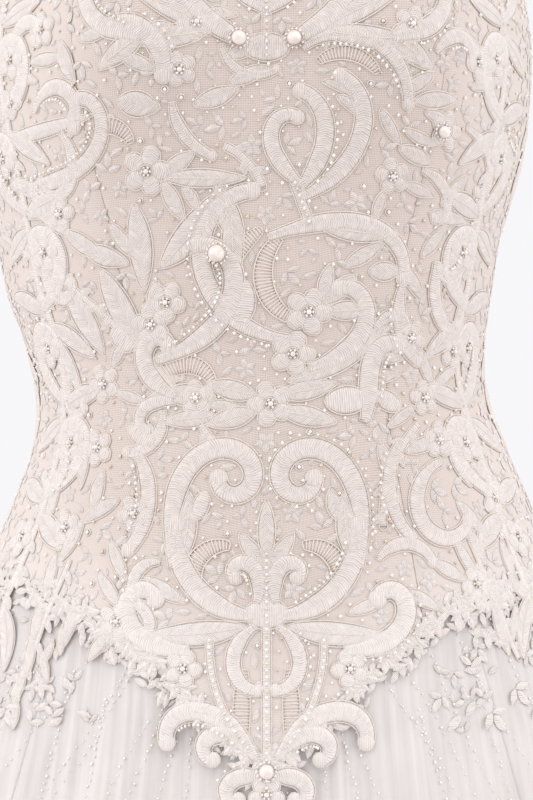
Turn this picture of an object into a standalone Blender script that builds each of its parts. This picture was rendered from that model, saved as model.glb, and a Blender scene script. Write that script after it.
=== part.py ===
"""Strapless wedding dress with a lace bodice and a full net skirt.

The dress keeps the hollow form that it has when it is worn. It stands in metres with +Z up, its front
faces -Y, and its origin is the middle of the waist. Left and right are the wearer's: left is +X.

The cloth follows one body surface. A point on it has an angle round the body, 0 at the middle of the
front and 180 degrees at the middle of the back, and a height. Every panel is a thin wall between two
angles, and the lace is laid out flat in millimetres and then wrapped round the same surface.
"""

import math

import bmesh
import bpy
import numpy as np
from mathutils import Vector
from mathutils.bvhtree import BVHTree
from mathutils.geometry import delaunay_2d_cdt

MM = 0.001

# The body surface at each height, in metres. Columns: height, half width, depth to the front,
# depth to the back, lean of the middle to one side
SECTIONS = np.array(
    [
        (-1.090, 0.590, 0.520, 0.620, 0.0000),
        (-0.700, 0.420, 0.320, 0.400, 0.0000),
        (-0.450, 0.310, 0.198, 0.262, 0.0000),
        (-0.300, 0.241, 0.141, 0.190, 0.0000),
        (-0.215, 0.202, 0.121, 0.155, 0.0000),
        (-0.160, 0.177, 0.114, 0.136, 0.0000),
        (-0.110, 0.155, 0.108, 0.120, 0.0015),
        (-0.065, 0.136, 0.101, 0.105, 0.0027),
        (-0.038, 0.1255, 0.096, 0.096, 0.0014),
        (-0.016, 0.121, 0.093, 0.090, -0.0020),
        (0.000, 0.121, 0.092, 0.088, -0.0046),
        (0.016, 0.1235, 0.0925, 0.089, -0.0065),
        (0.038, 0.129, 0.094, 0.092, -0.0090),
        (0.070, 0.135, 0.096, 0.097, -0.0100),
        (0.119, 0.148, 0.100, 0.102, -0.0100),
        (0.165, 0.152, 0.103, 0.104, -0.0100),
        (0.200, 0.149, 0.098, 0.103, -0.0100),
        (0.255, 0.138, 0.086, 0.097, -0.0100),
    ]
)

# Top edge of the bodice. Columns: angle in degrees, height in metres
NECKLINE = np.array(
    [
        (-30, 0.243),
        (-12, 0.222),
        (0, 0.206),
        (12, 0.222),
        (30, 0.243),
        (50, 0.233),
        (70, 0.207),
        (90, 0.188),
        (120, 0.158),
        (150, 0.137),
        (180, 0.130),
        (210, 0.137),
    ]
)

# Where the curved seams run. Columns: height in metres, angle of the front seam, angle of the back seam
PRINCESS_SEAMS = np.array(
    [
        (-0.215, 27, 152),
        (-0.110, 29, 152),
        (0.000, 31, 153),
        (0.090, 35, 150),
        (0.165, 38, 146),
        (0.255, 36, 146),
    ]
)

# Depth of the skirt's flutes. Columns: height in metres, depth in metres
FLUTE_DEPTHS = np.array(
    [
        (-1.090, 0.046),
        (-0.700, 0.031),
        (-0.450, 0.018),
        (-0.300, 0.009),
        (-0.200, 0.003),
        (-0.120, 0.0),
        (0.000, 0.0),
    ]
)

# Bust cups
CUP_DEPTH = 0.021
CUP_ACROSS = 0.078
CUP_HEIGHT = 0.172
CUP_HALF_WIDTH = 0.046
CUP_HALF_RISE = 0.060

# Dropped waist seam, which falls to a point at the front
SEAM_AT_SIDE = -0.105
SEAM_AT_BACK = -0.095
POINT_DROP = 0.090
POINT_SPREAD = math.radians(24)
POINT_SHARPNESS = 1.3

# Walls and gaps
BODICE_WALL = 1.8 * MM
NET_WALL = 1.0 * MM
UNDERSKIRT_WALL = 1.0 * MM
SEAM_GAP = 0.3 * MM
SEAM_ALLOWANCE = 8 * MM
NET_INSET = 3.1 * MM
UNDERSKIRT_INSET = 5.0 * MM
UNDERSKIRT_EASE = 0.010
HEM_HEIGHT = -1.090
UNDERSKIRT_HEM = -1.080
UNDERSKIRT_COLUMN = 10

# Flutes
FLUTES = 15
COLUMNS_PER_FLUTE = 6
FLUTE_DRIFT = 0.05
FLUTE_UNEVEN = 0.25

# Rows of each bodice panel: below the waist, at the waist and above it
WAIST_BAND = 0.040
BODICE_ROWS = (5, 6, 8)

# Lace, in millimetres. It is flat until it is wrapped
LACE_LIFT = 0.7
LACE_EDGE = 0.8
DRAPE_STARTS, DRAPE_ENDS = 6, 30
MERGE_WITHIN = 0.05
LEAST_AREA = 0.02
OUTLINE_TOLERANCE = 0.4
LONGEST_SIDE = 14
LEAST_SPACING = 2.6
GRID_STEP = 12
CLEARANCE = 0.4
SAMPLES = 6
SETTLING_ROUNDS = 8
LEAST_PIECE = 60.0
RIDGE = {"scroll": 2.0, "leaf": 1.5, "petal": 1.9, "stem": 1.2, "ladder": 1.1, "flower": 1.5, "pearl": 4.0}
STATIONS = {"leaf": 4, "petal": 4, "stem": 4, "ladder": 5}
SCROLL_STATIONS, SCROLL_PITCH = 3.2, 17

# Every lace table has these columns: kind, across, up, heading, length, width, bend, curl. Lengths are
# in millimetres and angles in degrees. A flower or a pearl has its radius as its length
MEDALLION_HALF = [
    ("scroll", 46, -99, 80, 122, 10.5, 58, 316),
    ("leaf", 43, -97, 106, 36, 9.5, -18, 0),
    ("scroll", 6, -122, 2, 66, 11, 92, 0),
    ("scroll", 5, -116, 108, 34, 8.5, -60, -190),
    ("ladder", 18, -88, 10, 46, 9, -165, 0),
    ("leaf", 1, -97, 42, 20, 7.5, 20, 0),
    ("scroll", 5, -127, -28, 42, 7.5, -105, -50),
    ("leaf", 10, -127, -14, 50, 12, 18, 0),
    ("scroll", 38, -139, -2, 64, 11, 62, 190),
    ("stem", 28, -134, -88, 56, 3.4, -44, 0),
    ("ladder", 11, -148, -84, 38, 8, -10, 0),
    ("scroll", 7, -188, 60, 60, 10, -66, -100),
    ("scroll", 5, -191, 58, 42, 9, -66, -170),
    ("scroll", 1, -200, 12, 31, 8.5, -40, -190),
    ("flower", 41, -148, 0, 9.5, 0, 0, 0),
]
MEDALLION_SPINE = [
    ("leaf", 0, -95, 90, 30, 8.5, 0, 0),
    ("stem", 0, -92, -90, 116, 4.0, 0, 0),
    ("petal", -11, -121, 0, 22, 15, 0, 0),
    ("flower", 0, -208, 0, 9, 0, 0, 0),
    ("pearl", 0, -197, 0, 3.6, 0, 0, 0),
]
UPPER_LACE = [
    ("flower", 2, -18, 0, 11.5, 0, 0, 0),
    ("leaf", 6, -14, 12, 30, 10, 0, 0),
    ("leaf", 6, -21, -12, 30, 10, 0, 0),
    ("petal", 29, -17, 4, 23, 14, 0, 0),
    ("scroll", 50, -27, 74, 50, 11, 60, -170),
    ("leaf", -5, -14, 166, 26, 10, 0, 0),
    ("leaf", -5, -22, 194, 26, 10, 0, 0),
    ("leaf", -25, -15, 172, 30, 11, 10, 0),
    ("leaf", -25, -24, 186, 28, 9, 0, 0),
    ("scroll", -46, -14, 156, 48, 10, -60, -170),
    ("scroll", 12, 14, 176, 112, 10, -122, -50),
    ("scroll", 1, 65, 20, 88, 9, -26, -100),
    ("ladder", 14, 24, 160, 50, 9, -120, 0),
    ("leaf", 26, 71, -12, 42, 10, 14, 0),
    ("leaf", 27, 34, 74, 19, 7, 0, 0),
    ("leaf", 28, 32, 40, 23, 9, 0, 0),
    ("leaf", 29, 28, 4, 25, 9.5, 0, 0),
    ("scroll", 21, 0, 14, 66, 10, 60, 130),
    ("leaf", 10, -7, 16, 50, 9, 14, 0),
    ("scroll", 18, 90, 140, 50, 8, -30, -150),
    ("scroll", 15, 88, 44, 58, 9, 60, 60),
    ("scroll", 16, 84, 24, 78, 9, 62, 70),
    ("stem", 14, 92, -70, 22, 5, 0, 0),
    ("flower", 21, 28, 0, 12, 0, 0, 0),
    ("flower", 13, 7, 0, 11.5, 0, 0, 0),
    ("leaf", -12, 60, 118, 36, 12, -14, 0),
    ("leaf", -18, 40, 84, 44, 11, 12, 0),
    ("flower", -60, 98, 0, 12.5, 0, 0, 0),
    ("leaf", -52, 96, 34, 20, 8, 0, 0),
    ("leaf", -52, 95, -4, 42, 9, 6, 0),
    ("leaf", -52, 94, -66, 24, 8, 8, 0),
    ("leaf", -54, 50, 42, 52, 15, 16, 0),
    ("flower", -51, 33, 0, 10.5, 0, 0, 0),
    ("flower", -59, 22, 0, 11, 0, 0, 0),
    ("scroll", -56, 4, 16, 90, 10.5, 60, 120),
    ("ladder", -56, -10, 76, 38, 9, -140, 0),
    ("pearl", -24.5, 57, 0, 4.2, 0, 0, 0),
]
BUST_HALF = [
    ("scroll", 1, 176, 150, 44, 10, -40, -190),
    ("scroll", 4, 158, 20, 84, 10.5, 40, 130),
    ("leaf", 27, 166, 30, 42, 11, -10, 0),
    ("leaf", 28, 166, -14, 44, 11, 16, 0),
    ("scroll", 62, 162, 8, 62, 10, 50, 170),
    ("leaf", 60, 164, -34, 30, 11, 0, 0),
    ("flower", 46, 188, 0, 12, 0, 0, 0),
    ("pearl", 14, 162, 0, 3.6, 0, 0, 0),
]
BUST_SPINE = [("petal", -12, 158, 0, 24, 14, 0, 0), ("stem", 0, 154, 90, 28, 4, 0, 0)]
SIDE_UNIT = [
    ("stem", 0, 4, -84, 58, 4, -12, 0),
    ("scroll", -2, -6, 28, 66, 10, 66, 190),
    ("leaf", 0, -14, -26, 32, 11, -14, 0),
    ("leaf", 0, -8, 152, 32, 11, 20, 0),
    ("flower", -8, -26, 0, 10.5, 0, 0, 0),
]
BACK_UNIT = [
    ("stem", 0, 4, -86, 68, 3.6, -8, 0),
    ("scroll", -1, -8, 30, 62, 9.5, 60, 190),
    ("leaf", 0, -16, 200, 30, 10, 16, 0),
]
SPRAY = [
    ("stem", 0, 6, -92, 46, 3.6, 4, 0),
    ("leaf", 0, -4, -52, 36, 10.5, -20, 0),
    ("leaf", 0, -10, -130, 36, 10.5, 20, 0),
    ("leaf", 0, -30, -62, 30, 9, -14, 0),
    ("leaf", 0, -34, -104, 34, 9.5, 8, 0),
]

# How each run of side and back lace repeats down the bodice. Columns: name, angle of its middle in
# degrees, height of the first unit, number of units, step between units, unit, height of the spray
# under it. Heights are in millimetres
RUNS = [
    ("lace_side_left", 58, 184, 6, 49, SIDE_UNIT, -106),
    ("lace_side_right", -58, 184, 6, 49, SIDE_UNIT, -118),
    ("lace_side_back_left", 92, 148, 4, 62, BACK_UNIT, -100),
    ("lace_side_back_right", -92, 148, 4, 62, BACK_UNIT, -100),
]

# Zip at the middle of the back
ZIP_TOP = 0.124
ZIP_BOTTOM = -0.180
ZIP_ROWS = 18
ZIP_HALF_WIDTH = 9 * MM
ZIP_WALL = 0.8 * MM
ZIP_INSET_BODICE = 2.6 * MM
ZIP_BEHIND_UNDERSKIRT = 2.4 * MM
ZIP_STEP_TOP, ZIP_STEP_BOTTOM = -0.058, -0.078
SLIDER_HEIGHT = 0.112
SLIDER_LIFT = 0.6 * MM
SLIDER_SIZE = Vector((6.4, 2.0, 9.0)) * MM
LUG_SIZE = Vector((1.1, 4.2, 3.4)) * MM
LUG_APART = 5.2 * MM
PIN_RADIUS = 0.65 * MM
EYE_RADIUS = 2.1 * MM
EYE_HOLE = 1.05 * MM
EYE_WIDTH = 3.2 * MM
AXIS_ABOVE_SLIDER = 2.7 * MM
TAB_SIZE = Vector((5.0, 1.3, 20.0)) * MM
TAB_TAPER = 0.6

# Colours are linear. Columns: name, colour, roughness, metallic
FINISHES = {
    "net_over_lining": ((0.66, 0.58, 0.53, 1), 0.75, 0.0),
    "lace": ((0.83, 0.77, 0.74, 1), 0.6, 0.0),
    "net": ((0.86, 0.80, 0.79, 1), 0.7, 0.0),
    "satin": ((0.88, 0.83, 0.81, 1), 0.45, 0.0),
    "zip_tape": ((0.84, 0.79, 0.76, 1), 0.7, 0.0),
    "zip_metal": ((0.72, 0.70, 0.68, 1), 0.3, 1.0),
}


def through(table, at):
    """Reads every column of a table at the values `at` of its first column, along smooth cubics."""
    keys = table[:, 0].astype(float)
    values = table[:, 1:].astype(float)
    slopes = np.gradient(values, keys, axis=0)
    at = np.clip(np.asarray(at, float), keys[0], keys[-1])
    low = np.clip(np.searchsorted(keys, at, side="right") - 1, 0, len(keys) - 2)
    span = keys[low + 1] - keys[low]
    t = ((at - keys[low]) / span)[..., None]
    span = span[..., None]
    near = values[low] * (1 + 2 * t) * (1 - t) ** 2 + slopes[low] * span * t * (1 - t) ** 2
    far = values[low + 1] * t**2 * (3 - 2 * t) + slopes[low + 1] * span * t**2 * (t - 1)
    return near + far


def smooth(t):
    """0 up to t = 0 and 1 from t = 1, with an even slope between."""
    t = np.clip(t, 0, 1)
    return t * t * (3 - 2 * t)


def body_point(angle, height):
    """The body surface: half an ellipse in front and half behind, with two bust cups."""
    half_width, front, back, lean = np.moveaxis(through(SECTIONS, height), -1, 0)
    sine, cosine = np.sin(angle), np.cos(angle)
    x = half_width * sine + lean * sine**2
    y = -np.where(cosine > 0, front, back) * cosine
    off_across = (np.abs(x) - CUP_ACROSS) / CUP_HALF_WIDTH
    off_up = (height - CUP_HEIGHT) / CUP_HALF_RISE
    cup = CUP_DEPTH * np.exp(-(off_across**2) - off_up**2)
    y = y - cup * np.clip(cosine, 0, 1)
    return np.stack([x, y, height + 0 * x], axis=-1)


def flute_depth(angle, height):
    """How far the net lies inside the body surface. Crests touch it, and valleys are uneven."""
    drifted = angle + FLUTE_DRIFT * np.sin(3 * angle + 1)
    wave = (1 - np.cos(FLUTES * drifted)) / 2
    strength = 1 - FLUTE_UNEVEN + FLUTE_UNEVEN * np.cos(5 * angle + 2)
    return through(FLUTE_DEPTHS, height)[..., 0] * wave * strength


def inset_body(angle, height, inset):
    """A body point moved level towards the inside by `inset`."""
    step = 1e-4
    along = body_point(angle + step, height) - body_point(angle - step, height)
    out = np.stack([along[..., 1], -along[..., 0], 0 * along[..., 0]], axis=-1)
    out = out / np.linalg.norm(out, axis=-1, keepdims=True)
    return body_point(angle, height) - out * np.asarray(inset)[..., None]


def net_point(angle, height):
    return inset_body(angle, height, NET_INSET + flute_depth(angle, height))


def underskirt_inset(height):
    """The underskirt hangs inside the deepest valleys and eases away from them lower down."""
    deepest = through(FLUTE_DEPTHS, height)[..., 0]
    return UNDERSKIRT_INSET + deepest + UNDERSKIRT_EASE * smooth((SEAM_AT_BACK - 0.02 - height) / 0.15)


def underskirt_point(angle, height):
    return inset_body(angle, height, underskirt_inset(height) + 0 * angle)


def moved_out(surface, angle, height, lift):
    """A surface's points moved along its outward normals."""
    step = 1e-4
    across = surface(angle + step, height) - surface(angle - step, height)
    up = surface(angle, height + step) - surface(angle, height - step)
    normal = np.cross(across, up)
    normal = normal / np.linalg.norm(normal, axis=-1, keepdims=True)
    return surface(angle, height) + normal * np.asarray(lift)[..., None]


def seam_height(angle):
    """Waist seam: level at the sides, a little higher behind, and a point at the front."""
    turned = np.abs((angle + math.pi) % (2 * math.pi) - math.pi)
    rise = (SEAM_AT_BACK - SEAM_AT_SIDE) * smooth((turned - math.pi / 2) / (math.pi / 2))
    point = np.exp(-((turned / POINT_SPREAD) ** POINT_SHARPNESS))
    return SEAM_AT_SIDE + rise - POINT_DROP * point


def neck_height(angle):
    turned = np.abs((angle + math.pi) % (2 * math.pi) - math.pi)
    return through(NECKLINE, np.degrees(turned))[..., 0]


def finish(name):
    """One Principled material for each finish."""
    if name in bpy.data.materials:
        return bpy.data.materials[name]
    colour, roughness, metallic = FINISHES[name]
    material = bpy.data.materials.new(name)
    material.use_nodes = True
    shader = material.node_tree.nodes["Principled BSDF"]
    shader.inputs["Base Color"].default_value = colour
    shader.inputs["Roughness"].default_value = roughness
    shader.inputs["Metallic"].default_value = metallic
    material.diffuse_color = colour
    return material


def add_object(name, mesh, finish_name, collection):
    piece = bpy.data.objects.new(name, mesh)
    mesh.materials.append(finish(finish_name))
    collection.objects.link(piece)
    return piece


def wall_mesh(name, outer, inner):
    """A closed wall between two grids of points with the same rows and columns. Both sides are cut along
    the same diagonals, so that they stay apart where the cloth twists."""
    rows, columns = outer.shape[:2]
    index = np.arange(rows * columns).reshape(rows, columns)
    cells = np.stack([index[:-1, :-1], index[:-1, 1:], index[1:, 1:], index[1:, :-1]], axis=-1)
    cells = cells.reshape(-1, 4)
    front = np.concatenate([cells[:, [0, 1, 2]], cells[:, [0, 2, 3]]])
    behind = front[:, ::-1] + rows * columns
    border = np.concatenate([index[0], index[1:, -1], index[-1, -2::-1], index[-2:0:-1, 0]])
    following = np.roll(border, -1)
    rim = np.stack([following, border, border + rows * columns, following + rows * columns], axis=-1)
    points = np.concatenate([outer.reshape(-1, 3), inner.reshape(-1, 3)])
    mesh = bpy.data.meshes.new(name)
    mesh.from_pydata(points.tolist(), [], front.tolist() + behind.tolist() + rim.tolist())
    mesh.shade_smooth()
    mesh.set_sharp_from_angle(angle=math.radians(40))
    return mesh


def row_heights(angle):
    """Heights of a bodice panel's rows over each angle, closest together round the waist."""
    below, middle, above = BODICE_ROWS
    bottom, top = seam_height(angle), neck_height(angle)
    first = [bottom + (-WAIST_BAND - bottom) * i / below for i in range(below)]
    second = [0 * angle + WAIST_BAND * (2 * i / middle - 1) for i in range(middle)]
    third = [WAIST_BAND + (top - WAIST_BAND) * i / above for i in range(above + 1)]
    return np.stack(first + second + third)


def half_gap_angle(angle, height):
    """The angle that takes up half a seam's gap on the body surface."""
    step = 1e-4
    length = np.linalg.norm(body_point(angle + step, height) - body_point(angle - step, height), axis=-1)
    return SEAM_GAP / 2 * 2 * step / length


def bodice_panel(name, left_edge, right_edge, columns, collection):
    """A bodice panel between two seams, each given as a function from height to angle."""
    share = np.linspace(0, 1, columns + 1)
    angle = left_edge(0.0) + (right_edge(0.0) - left_edge(0.0)) * share
    angle = np.broadcast_to(angle, (sum(BODICE_ROWS) + 1, columns + 1))
    for _ in range(12):
        height = np.stack([row_heights(a)[i] for i, a in enumerate(angle)])
        left, right = left_edge(height), right_edge(height)
        left = left + half_gap_angle(left, height)
        right = right - half_gap_angle(right, height)
        angle = left + (right - left) * share
    outer = body_point(angle, height)
    inner = moved_out(body_point, angle, height, np.full(angle.shape, -BODICE_WALL))
    return add_object(name, wall_mesh(name, outer, inner), "net_over_lining", collection)


def make_bodice(collection):
    """Seven panels: one in the middle of the front, then two side fronts, side backs and backs."""

    def front_seam(height):
        return np.radians(through(PRINCESS_SEAMS, height)[..., 0])

    def back_seam(height):
        return np.radians(through(PRINCESS_SEAMS, height)[..., 1])

    def side_seam(height):
        return math.pi / 2 + 0 * np.asarray(height)

    def middle_back(height):
        return math.pi + 0 * np.asarray(height)

    def right_side(edge):
        return lambda height: -edge(height)

    bodice_panel("bodice_centre_front", right_side(front_seam), front_seam, 8, collection)
    halves = [
        ("bodice_side_front", front_seam, side_seam, 8),
        ("bodice_side_back", side_seam, back_seam, 8),
        ("bodice_back", back_seam, middle_back, 5),
    ]
    for name, near, far, columns in halves:
        bodice_panel(name + "_left", near, far, columns, collection)
        bodice_panel(name + "_right", right_side(far), right_side(near), columns, collection)


def skirt_piece(name, surface, wall, start, end, columns, heights, finish_name, collection):
    """A gore between two angles, from the hem up to just inside the waist seam."""
    share = np.linspace(0, 1, columns + 1)[None, :]
    level = np.asarray(heights)[:, None]
    angle = start + (end - start) * share + 0 * level
    hem, top = level[0], seam_height(angle) + SEAM_ALLOWANCE
    height = hem + (top - hem) * (level - hem) / (level[-1] - hem)
    gap = half_gap_angle(angle, height)
    angle = angle + gap * (1 - 2 * share)
    outer = surface(angle, height)
    inner = moved_out(surface, angle, height, np.full(angle.shape, -wall))
    return add_object(name, wall_mesh(name, outer, inner), finish_name, collection)


def make_skirt(collection):
    """Five gores of net over four plain gores of underskirt."""
    net_levels = [HEM_HEIGHT, -0.780, -0.520, -0.350, -0.250, -0.185, -0.135, -0.090]
    per_degree = FLUTES * COLUMNS_PER_FLUTE / 360
    for name, start, end in [
        ("skirt_front", -40, 40),
        ("skirt_side_left", 40, 120),
        ("skirt_side_right", -120, -40),
        ("skirt_back_left", 120, 180),
        ("skirt_back_right", -180, -120),
    ]:
        columns = round((end - start) * per_degree)
        angles = math.radians(start), math.radians(end)
        skirt_piece(name, net_point, NET_WALL, *angles, columns, net_levels, "net", collection)
    plain_levels = [UNDERSKIRT_HEM, -0.600, -0.300, -0.200, -0.150, -0.118, -0.090]
    for name, start, end in [
        ("underskirt_front", -50, 50),
        ("underskirt_side_left", 50, 130),
        ("underskirt_side_right", -130, -50),
        ("underskirt_back", 130, 230),
    ]:
        columns = round((end - start) / UNDERSKIRT_COLUMN)
        angles = math.radians(start), math.radians(end)
        skirt_piece(
            name, underskirt_point, UNDERSKIRT_WALL, *angles, columns, plain_levels, "satin", collection
        )


def centre_line(motif):
    """Points, half widths and headings along a motif.

    The heading turns evenly by `bend`, and by `curl` with the cube of the share of the length gone, so
    that a scroll rolls up towards its end.
    """
    kind, across, up, heading, length, width, bend, curl = motif
    fine = 49
    u = np.linspace(0, 1, fine)
    turned = np.radians(heading + bend * u + curl * u**3)
    middle = (turned[1:] + turned[:-1]) / 2
    step = length / (fine - 1)
    x = across + np.concatenate([[0], np.cumsum(np.cos(middle) * step)])
    y = up + np.concatenate([[0], np.cumsum(np.sin(middle) * step)])
    if kind == "scroll":
        half = width / 2 * (0.5 + 0.5 * np.clip(u / 0.3, 0, 1)) * (1 - 0.2 * np.clip((u - 0.6) / 0.4, 0, 1))
    elif kind == "leaf":
        half = width / 2 * np.sin(math.pi * u**0.9) ** 0.8
    elif kind == "petal":
        half = width / 2 * np.sqrt(np.clip(np.sin(math.pi * u), 0, 1))
    elif kind == "ladder":
        half = width / 2 * np.sin(math.pi * (0.07 + 0.86 * u)) ** 0.6
    else:
        half = np.full(fine, width / 2)
    if kind == "scroll":
        share = np.linspace(0, 1, round(SCROLL_STATIONS + length / SCROLL_PITCH)) ** 0.8
    else:
        share = np.linspace(0, 1, STATIONS[kind])
    picked = [np.interp(share, u, values) for values in (x, y, half, turned)]
    return np.stack(picked, axis=-1)


def rounded_star(motif):
    """Outline of a five-petalled flower, or of a pearl, as points round its middle."""
    kind, across, up, heading, radius = motif[:5]
    count = 10 if kind == "flower" else 8
    turned = np.arange(count) * 2 * math.pi / count + math.radians(heading + across)
    petal = 0.70 + 0.30 * np.abs(np.cos(2.5 * (turned - turned[0]))) if kind == "flower" else 1.0
    return np.stack([across + radius * petal * np.cos(turned), up + radius * petal * np.sin(turned)], axis=-1)


def outline_triangles(motif):
    """A motif's flat points and the triangles that fill its outline: a strip along a line, or a fan."""
    if motif[0] in ("flower", "pearl"):
        ring = rounded_star(motif)
        count = len(ring)
        return np.concatenate([ring, [motif[1:3]]]), [(i, (i + 1) % count, count) for i in range(count)]
    x, y, half, turned = centre_line(motif).T
    middle = np.stack([x, y], axis=-1)
    aside = np.stack([-np.sin(turned), np.cos(turned)], axis=-1) * half[:, None]
    count = len(x)
    points = np.concatenate([middle + aside, middle - aside])
    triangles = []
    for i in range(count - 1):
        triangles += [(i, i + 1, count + i + 1), (i, count + i + 1, count + i)]
    if motif[0] == "scroll":
        ahead = np.array([[math.cos(turned[-1]), math.sin(turned[-1])]]) * half[-1]
        points = np.concatenate([points, middle[-1:] + ahead])
        triangles.append((count - 1, 2 * count, 2 * count - 1))
    return points, triangles


def raised_points(motif):
    """Points inside a motif's outline where its top stands higher than at its edge."""
    if motif[0] == "pearl":
        ring = rounded_star(motif)
        centre = np.array([motif[1:3]])
        return np.concatenate([ring, centre + (ring - centre) * 0.7, centre])
    if motif[0] == "flower":
        return np.array([motif[1:3]])
    if motif[0] == "stem":
        return np.empty((0, 2))
    return centre_line(motif)[1:-1, :2]


def lace_height(points, motifs):
    """Height of the lace's top over its underside: each motif is a low dome over its own width."""
    top = np.full(len(points), LACE_EDGE)
    for motif in motifs:
        rise = RIDGE[motif[0]] - LACE_EDGE
        if motif[0] in ("flower", "pearl"):
            away = np.linalg.norm(points - [motif[1], motif[2]], axis=1) / motif[4]
            top = np.maximum(top, LACE_EDGE + rise * np.sqrt(np.clip(1 - away**2, 0, 1)))
            continue
        line = centre_line(motif)
        for near, far in zip(line[:-1], line[1:]):
            along = far[:2] - near[:2]
            t = np.clip((points - near[:2]) @ along / (along @ along), 0, 1)
            away = np.linalg.norm(points - near[:2] - t[:, None] * along, axis=1)
            half = np.maximum(near[2] + (far[2] - near[2]) * t, 1e-3)
            dome = np.clip(1 - (away / half) ** 2, 0, 1) * np.clip(half / 3, 0, 1)
            top = np.maximum(top, LACE_EDGE + rise * dome)
    return top


def counter_clockwise(points, triangles):
    """The triangles, each turned counter-clockwise, and their areas."""
    corners = points[triangles]
    first, second = corners[:, 1] - corners[:, 0], corners[:, 2] - corners[:, 0]
    turn = first[:, 0] * second[:, 1] - first[:, 1] * second[:, 0]
    return np.where(turn[:, None] < 0, triangles[:, ::-1], triangles), np.abs(turn) / 2


def border_edges(triangles):
    """Edges that only one triangle has, each in that triangle's direction."""
    edges = np.concatenate([triangles[:, [0, 1]], triangles[:, [1, 2]], triangles[:, [2, 0]]])
    seen = set(map(tuple, edges.tolist()))
    return sorted((a, b) for a, b in seen if (b, a) not in seen)


def plainer_border(points, edges):
    """The border with each point left out that lies within OUTLINE_TOLERANCE of its neighbours' line."""
    beside = {}
    for a, b in edges:
        beside.setdefault(a, []).append(b)
        beside.setdefault(b, []).append(a)
    for corner in sorted(beside):
        if len(beside[corner]) != 2:
            continue
        before, after = beside[corner]
        along = points[after] - points[before]
        length = np.linalg.norm(along)
        if before == after or after in beside[before] or length > LONGEST_SIDE:
            continue
        off = points[corner] - points[before]
        if abs(along[0] * off[1] - along[1] * off[0]) > OUTLINE_TOLERANCE * length:
            continue
        for end, other in ((before, after), (after, before)):
            beside[end][beside[end].index(corner)] = other
        beside[corner] = []
    return sorted({(min(a, b), max(a, b)) for a, ends in beside.items() for b in ends})


def inside(points, triangles):
    """Whether each point lies in any of the counter-clockwise triangles."""
    corner = triangles[None, :, :, :]
    along = np.roll(corner, -1, axis=2) - corner
    off = points[:, None, None, :] - corner
    turn = along[..., 0] * off[..., 1] - along[..., 1] * off[..., 0]
    return (turn > 0).all(axis=2).any(axis=1)


def short_sides(points, edges):
    """Parts every edge that is longer than LONGEST_SIDE."""
    points, parted = points.tolist(), []
    for a, b in edges:
        start, end = np.array(points[a]), np.array(points[b])
        count = math.ceil(np.linalg.norm(end - start) / LONGEST_SIDE)
        line = [a, *range(len(points), len(points) + count - 1), b]
        points += [(start + (end - start) * i / count).tolist() for i in range(1, count)]
        parted += list(zip(line[:-1], line[1:]))
    return np.array(points), parted


def even_grid(points):
    """A level grid of points over the whole of the lace, every other row half a step along."""
    low, high = points.min(axis=0), points.max(axis=0)
    rows = np.arange(low[1], high[1], GRID_STEP * math.sqrt(3) / 2)
    return np.array(
        [(x + (i % 2) * GRID_STEP / 2, y) for i, y in enumerate(rows) for x in np.arange(low[0], high[0], GRID_STEP)]
    )


def clear_of_border(spots, points, edges, least, others):
    """The other spots, and those of `spots` that lie at least `least` from every border edge and from
    all the rest."""
    near = np.array([points[a] for a, _ in edges])
    along = np.array([points[b] for _, b in edges]) - near
    kept = list(others)
    for spot in spots:
        t = np.clip(((spot - near) * along).sum(axis=1) / (along**2).sum(axis=1), 0, 1)
        away = np.linalg.norm(spot - near - t[:, None] * along, axis=1).min()
        if away > least and all(np.linalg.norm(spot - other) > least for other in kept):
            kept.append(spot)
    return kept


def filled_flat(points, edges, filled):
    """Triangles between the points and along the edges, kept where their middles lie in `filled`."""
    result = delaunay_2d_cdt(points, edges, [], 0, MERGE_WITHIN, True)
    flat = np.array([tuple(p) for p in result[0]])
    triangles = np.array(result[2])
    triangles = triangles[inside(flat[triangles].mean(axis=1), filled)]
    return flat, counter_clockwise(flat, triangles)[0]


def joined_flat(motifs):
    """The union of flat motifs, as points and triangles: their outlines are joined, and the joined
    outline is filled again together with the motifs' raised points."""
    points, edges, filled = [], [], []
    for motif in motifs:
        own, triangles = outline_triangles(motif)
        triangles, area = counter_clockwise(own, np.array(triangles))
        filled.append(own[triangles[area > LEAST_AREA]])
        edges += [(a + len(points), b + len(points)) for a, b in border_edges(triangles)]
        points += [Vector(p) for p in own.tolist()]
    filled = np.concatenate(filled)
    flat, triangles = filled_flat(points, edges, filled)
    flat, border = short_sides(flat, plainer_border(flat, border_edges(triangles)))
    spots = np.concatenate([raised_points(motif) for motif in motifs])
    spots = clear_of_border(spots, flat, border, LEAST_SPACING, [])
    grid = even_grid(flat)
    spots = clear_of_border(grid[inside(grid, filled)], flat, border, GRID_STEP / 2, spots)
    used = sorted({corner for edge in border for corner in edge})
    number = {corner: i for i, corner in enumerate(used)}
    points = [Vector(flat[corner].tolist()) for corner in used] + [Vector(p.tolist()) for p in spots]
    return filled_flat(points, [(number[a], number[b]) for a, b in border], filled)


def connected_parts(triangles):
    """Groups of triangles that share edges, the largest group first."""
    by_edge = {}
    for number, triangle in enumerate(triangles.tolist()):
        for a, b in zip(triangle, triangle[1:] + triangle[:1]):
            by_edge.setdefault((min(a, b), max(a, b)), []).append(number)
    parent = list(range(len(triangles)))

    def root(i):
        while parent[i] != i:
            parent[i] = parent[parent[i]]
            i = parent[i]
        return i

    for numbers in by_edge.values():
        for other in numbers[1:]:
            parent[root(other)] = root(numbers[0])
    groups = {}
    for number in range(len(triangles)):
        groups.setdefault(root(number), []).append(number)
    return sorted((triangles[g] for g in groups.values()), key=len, reverse=True)


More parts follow.
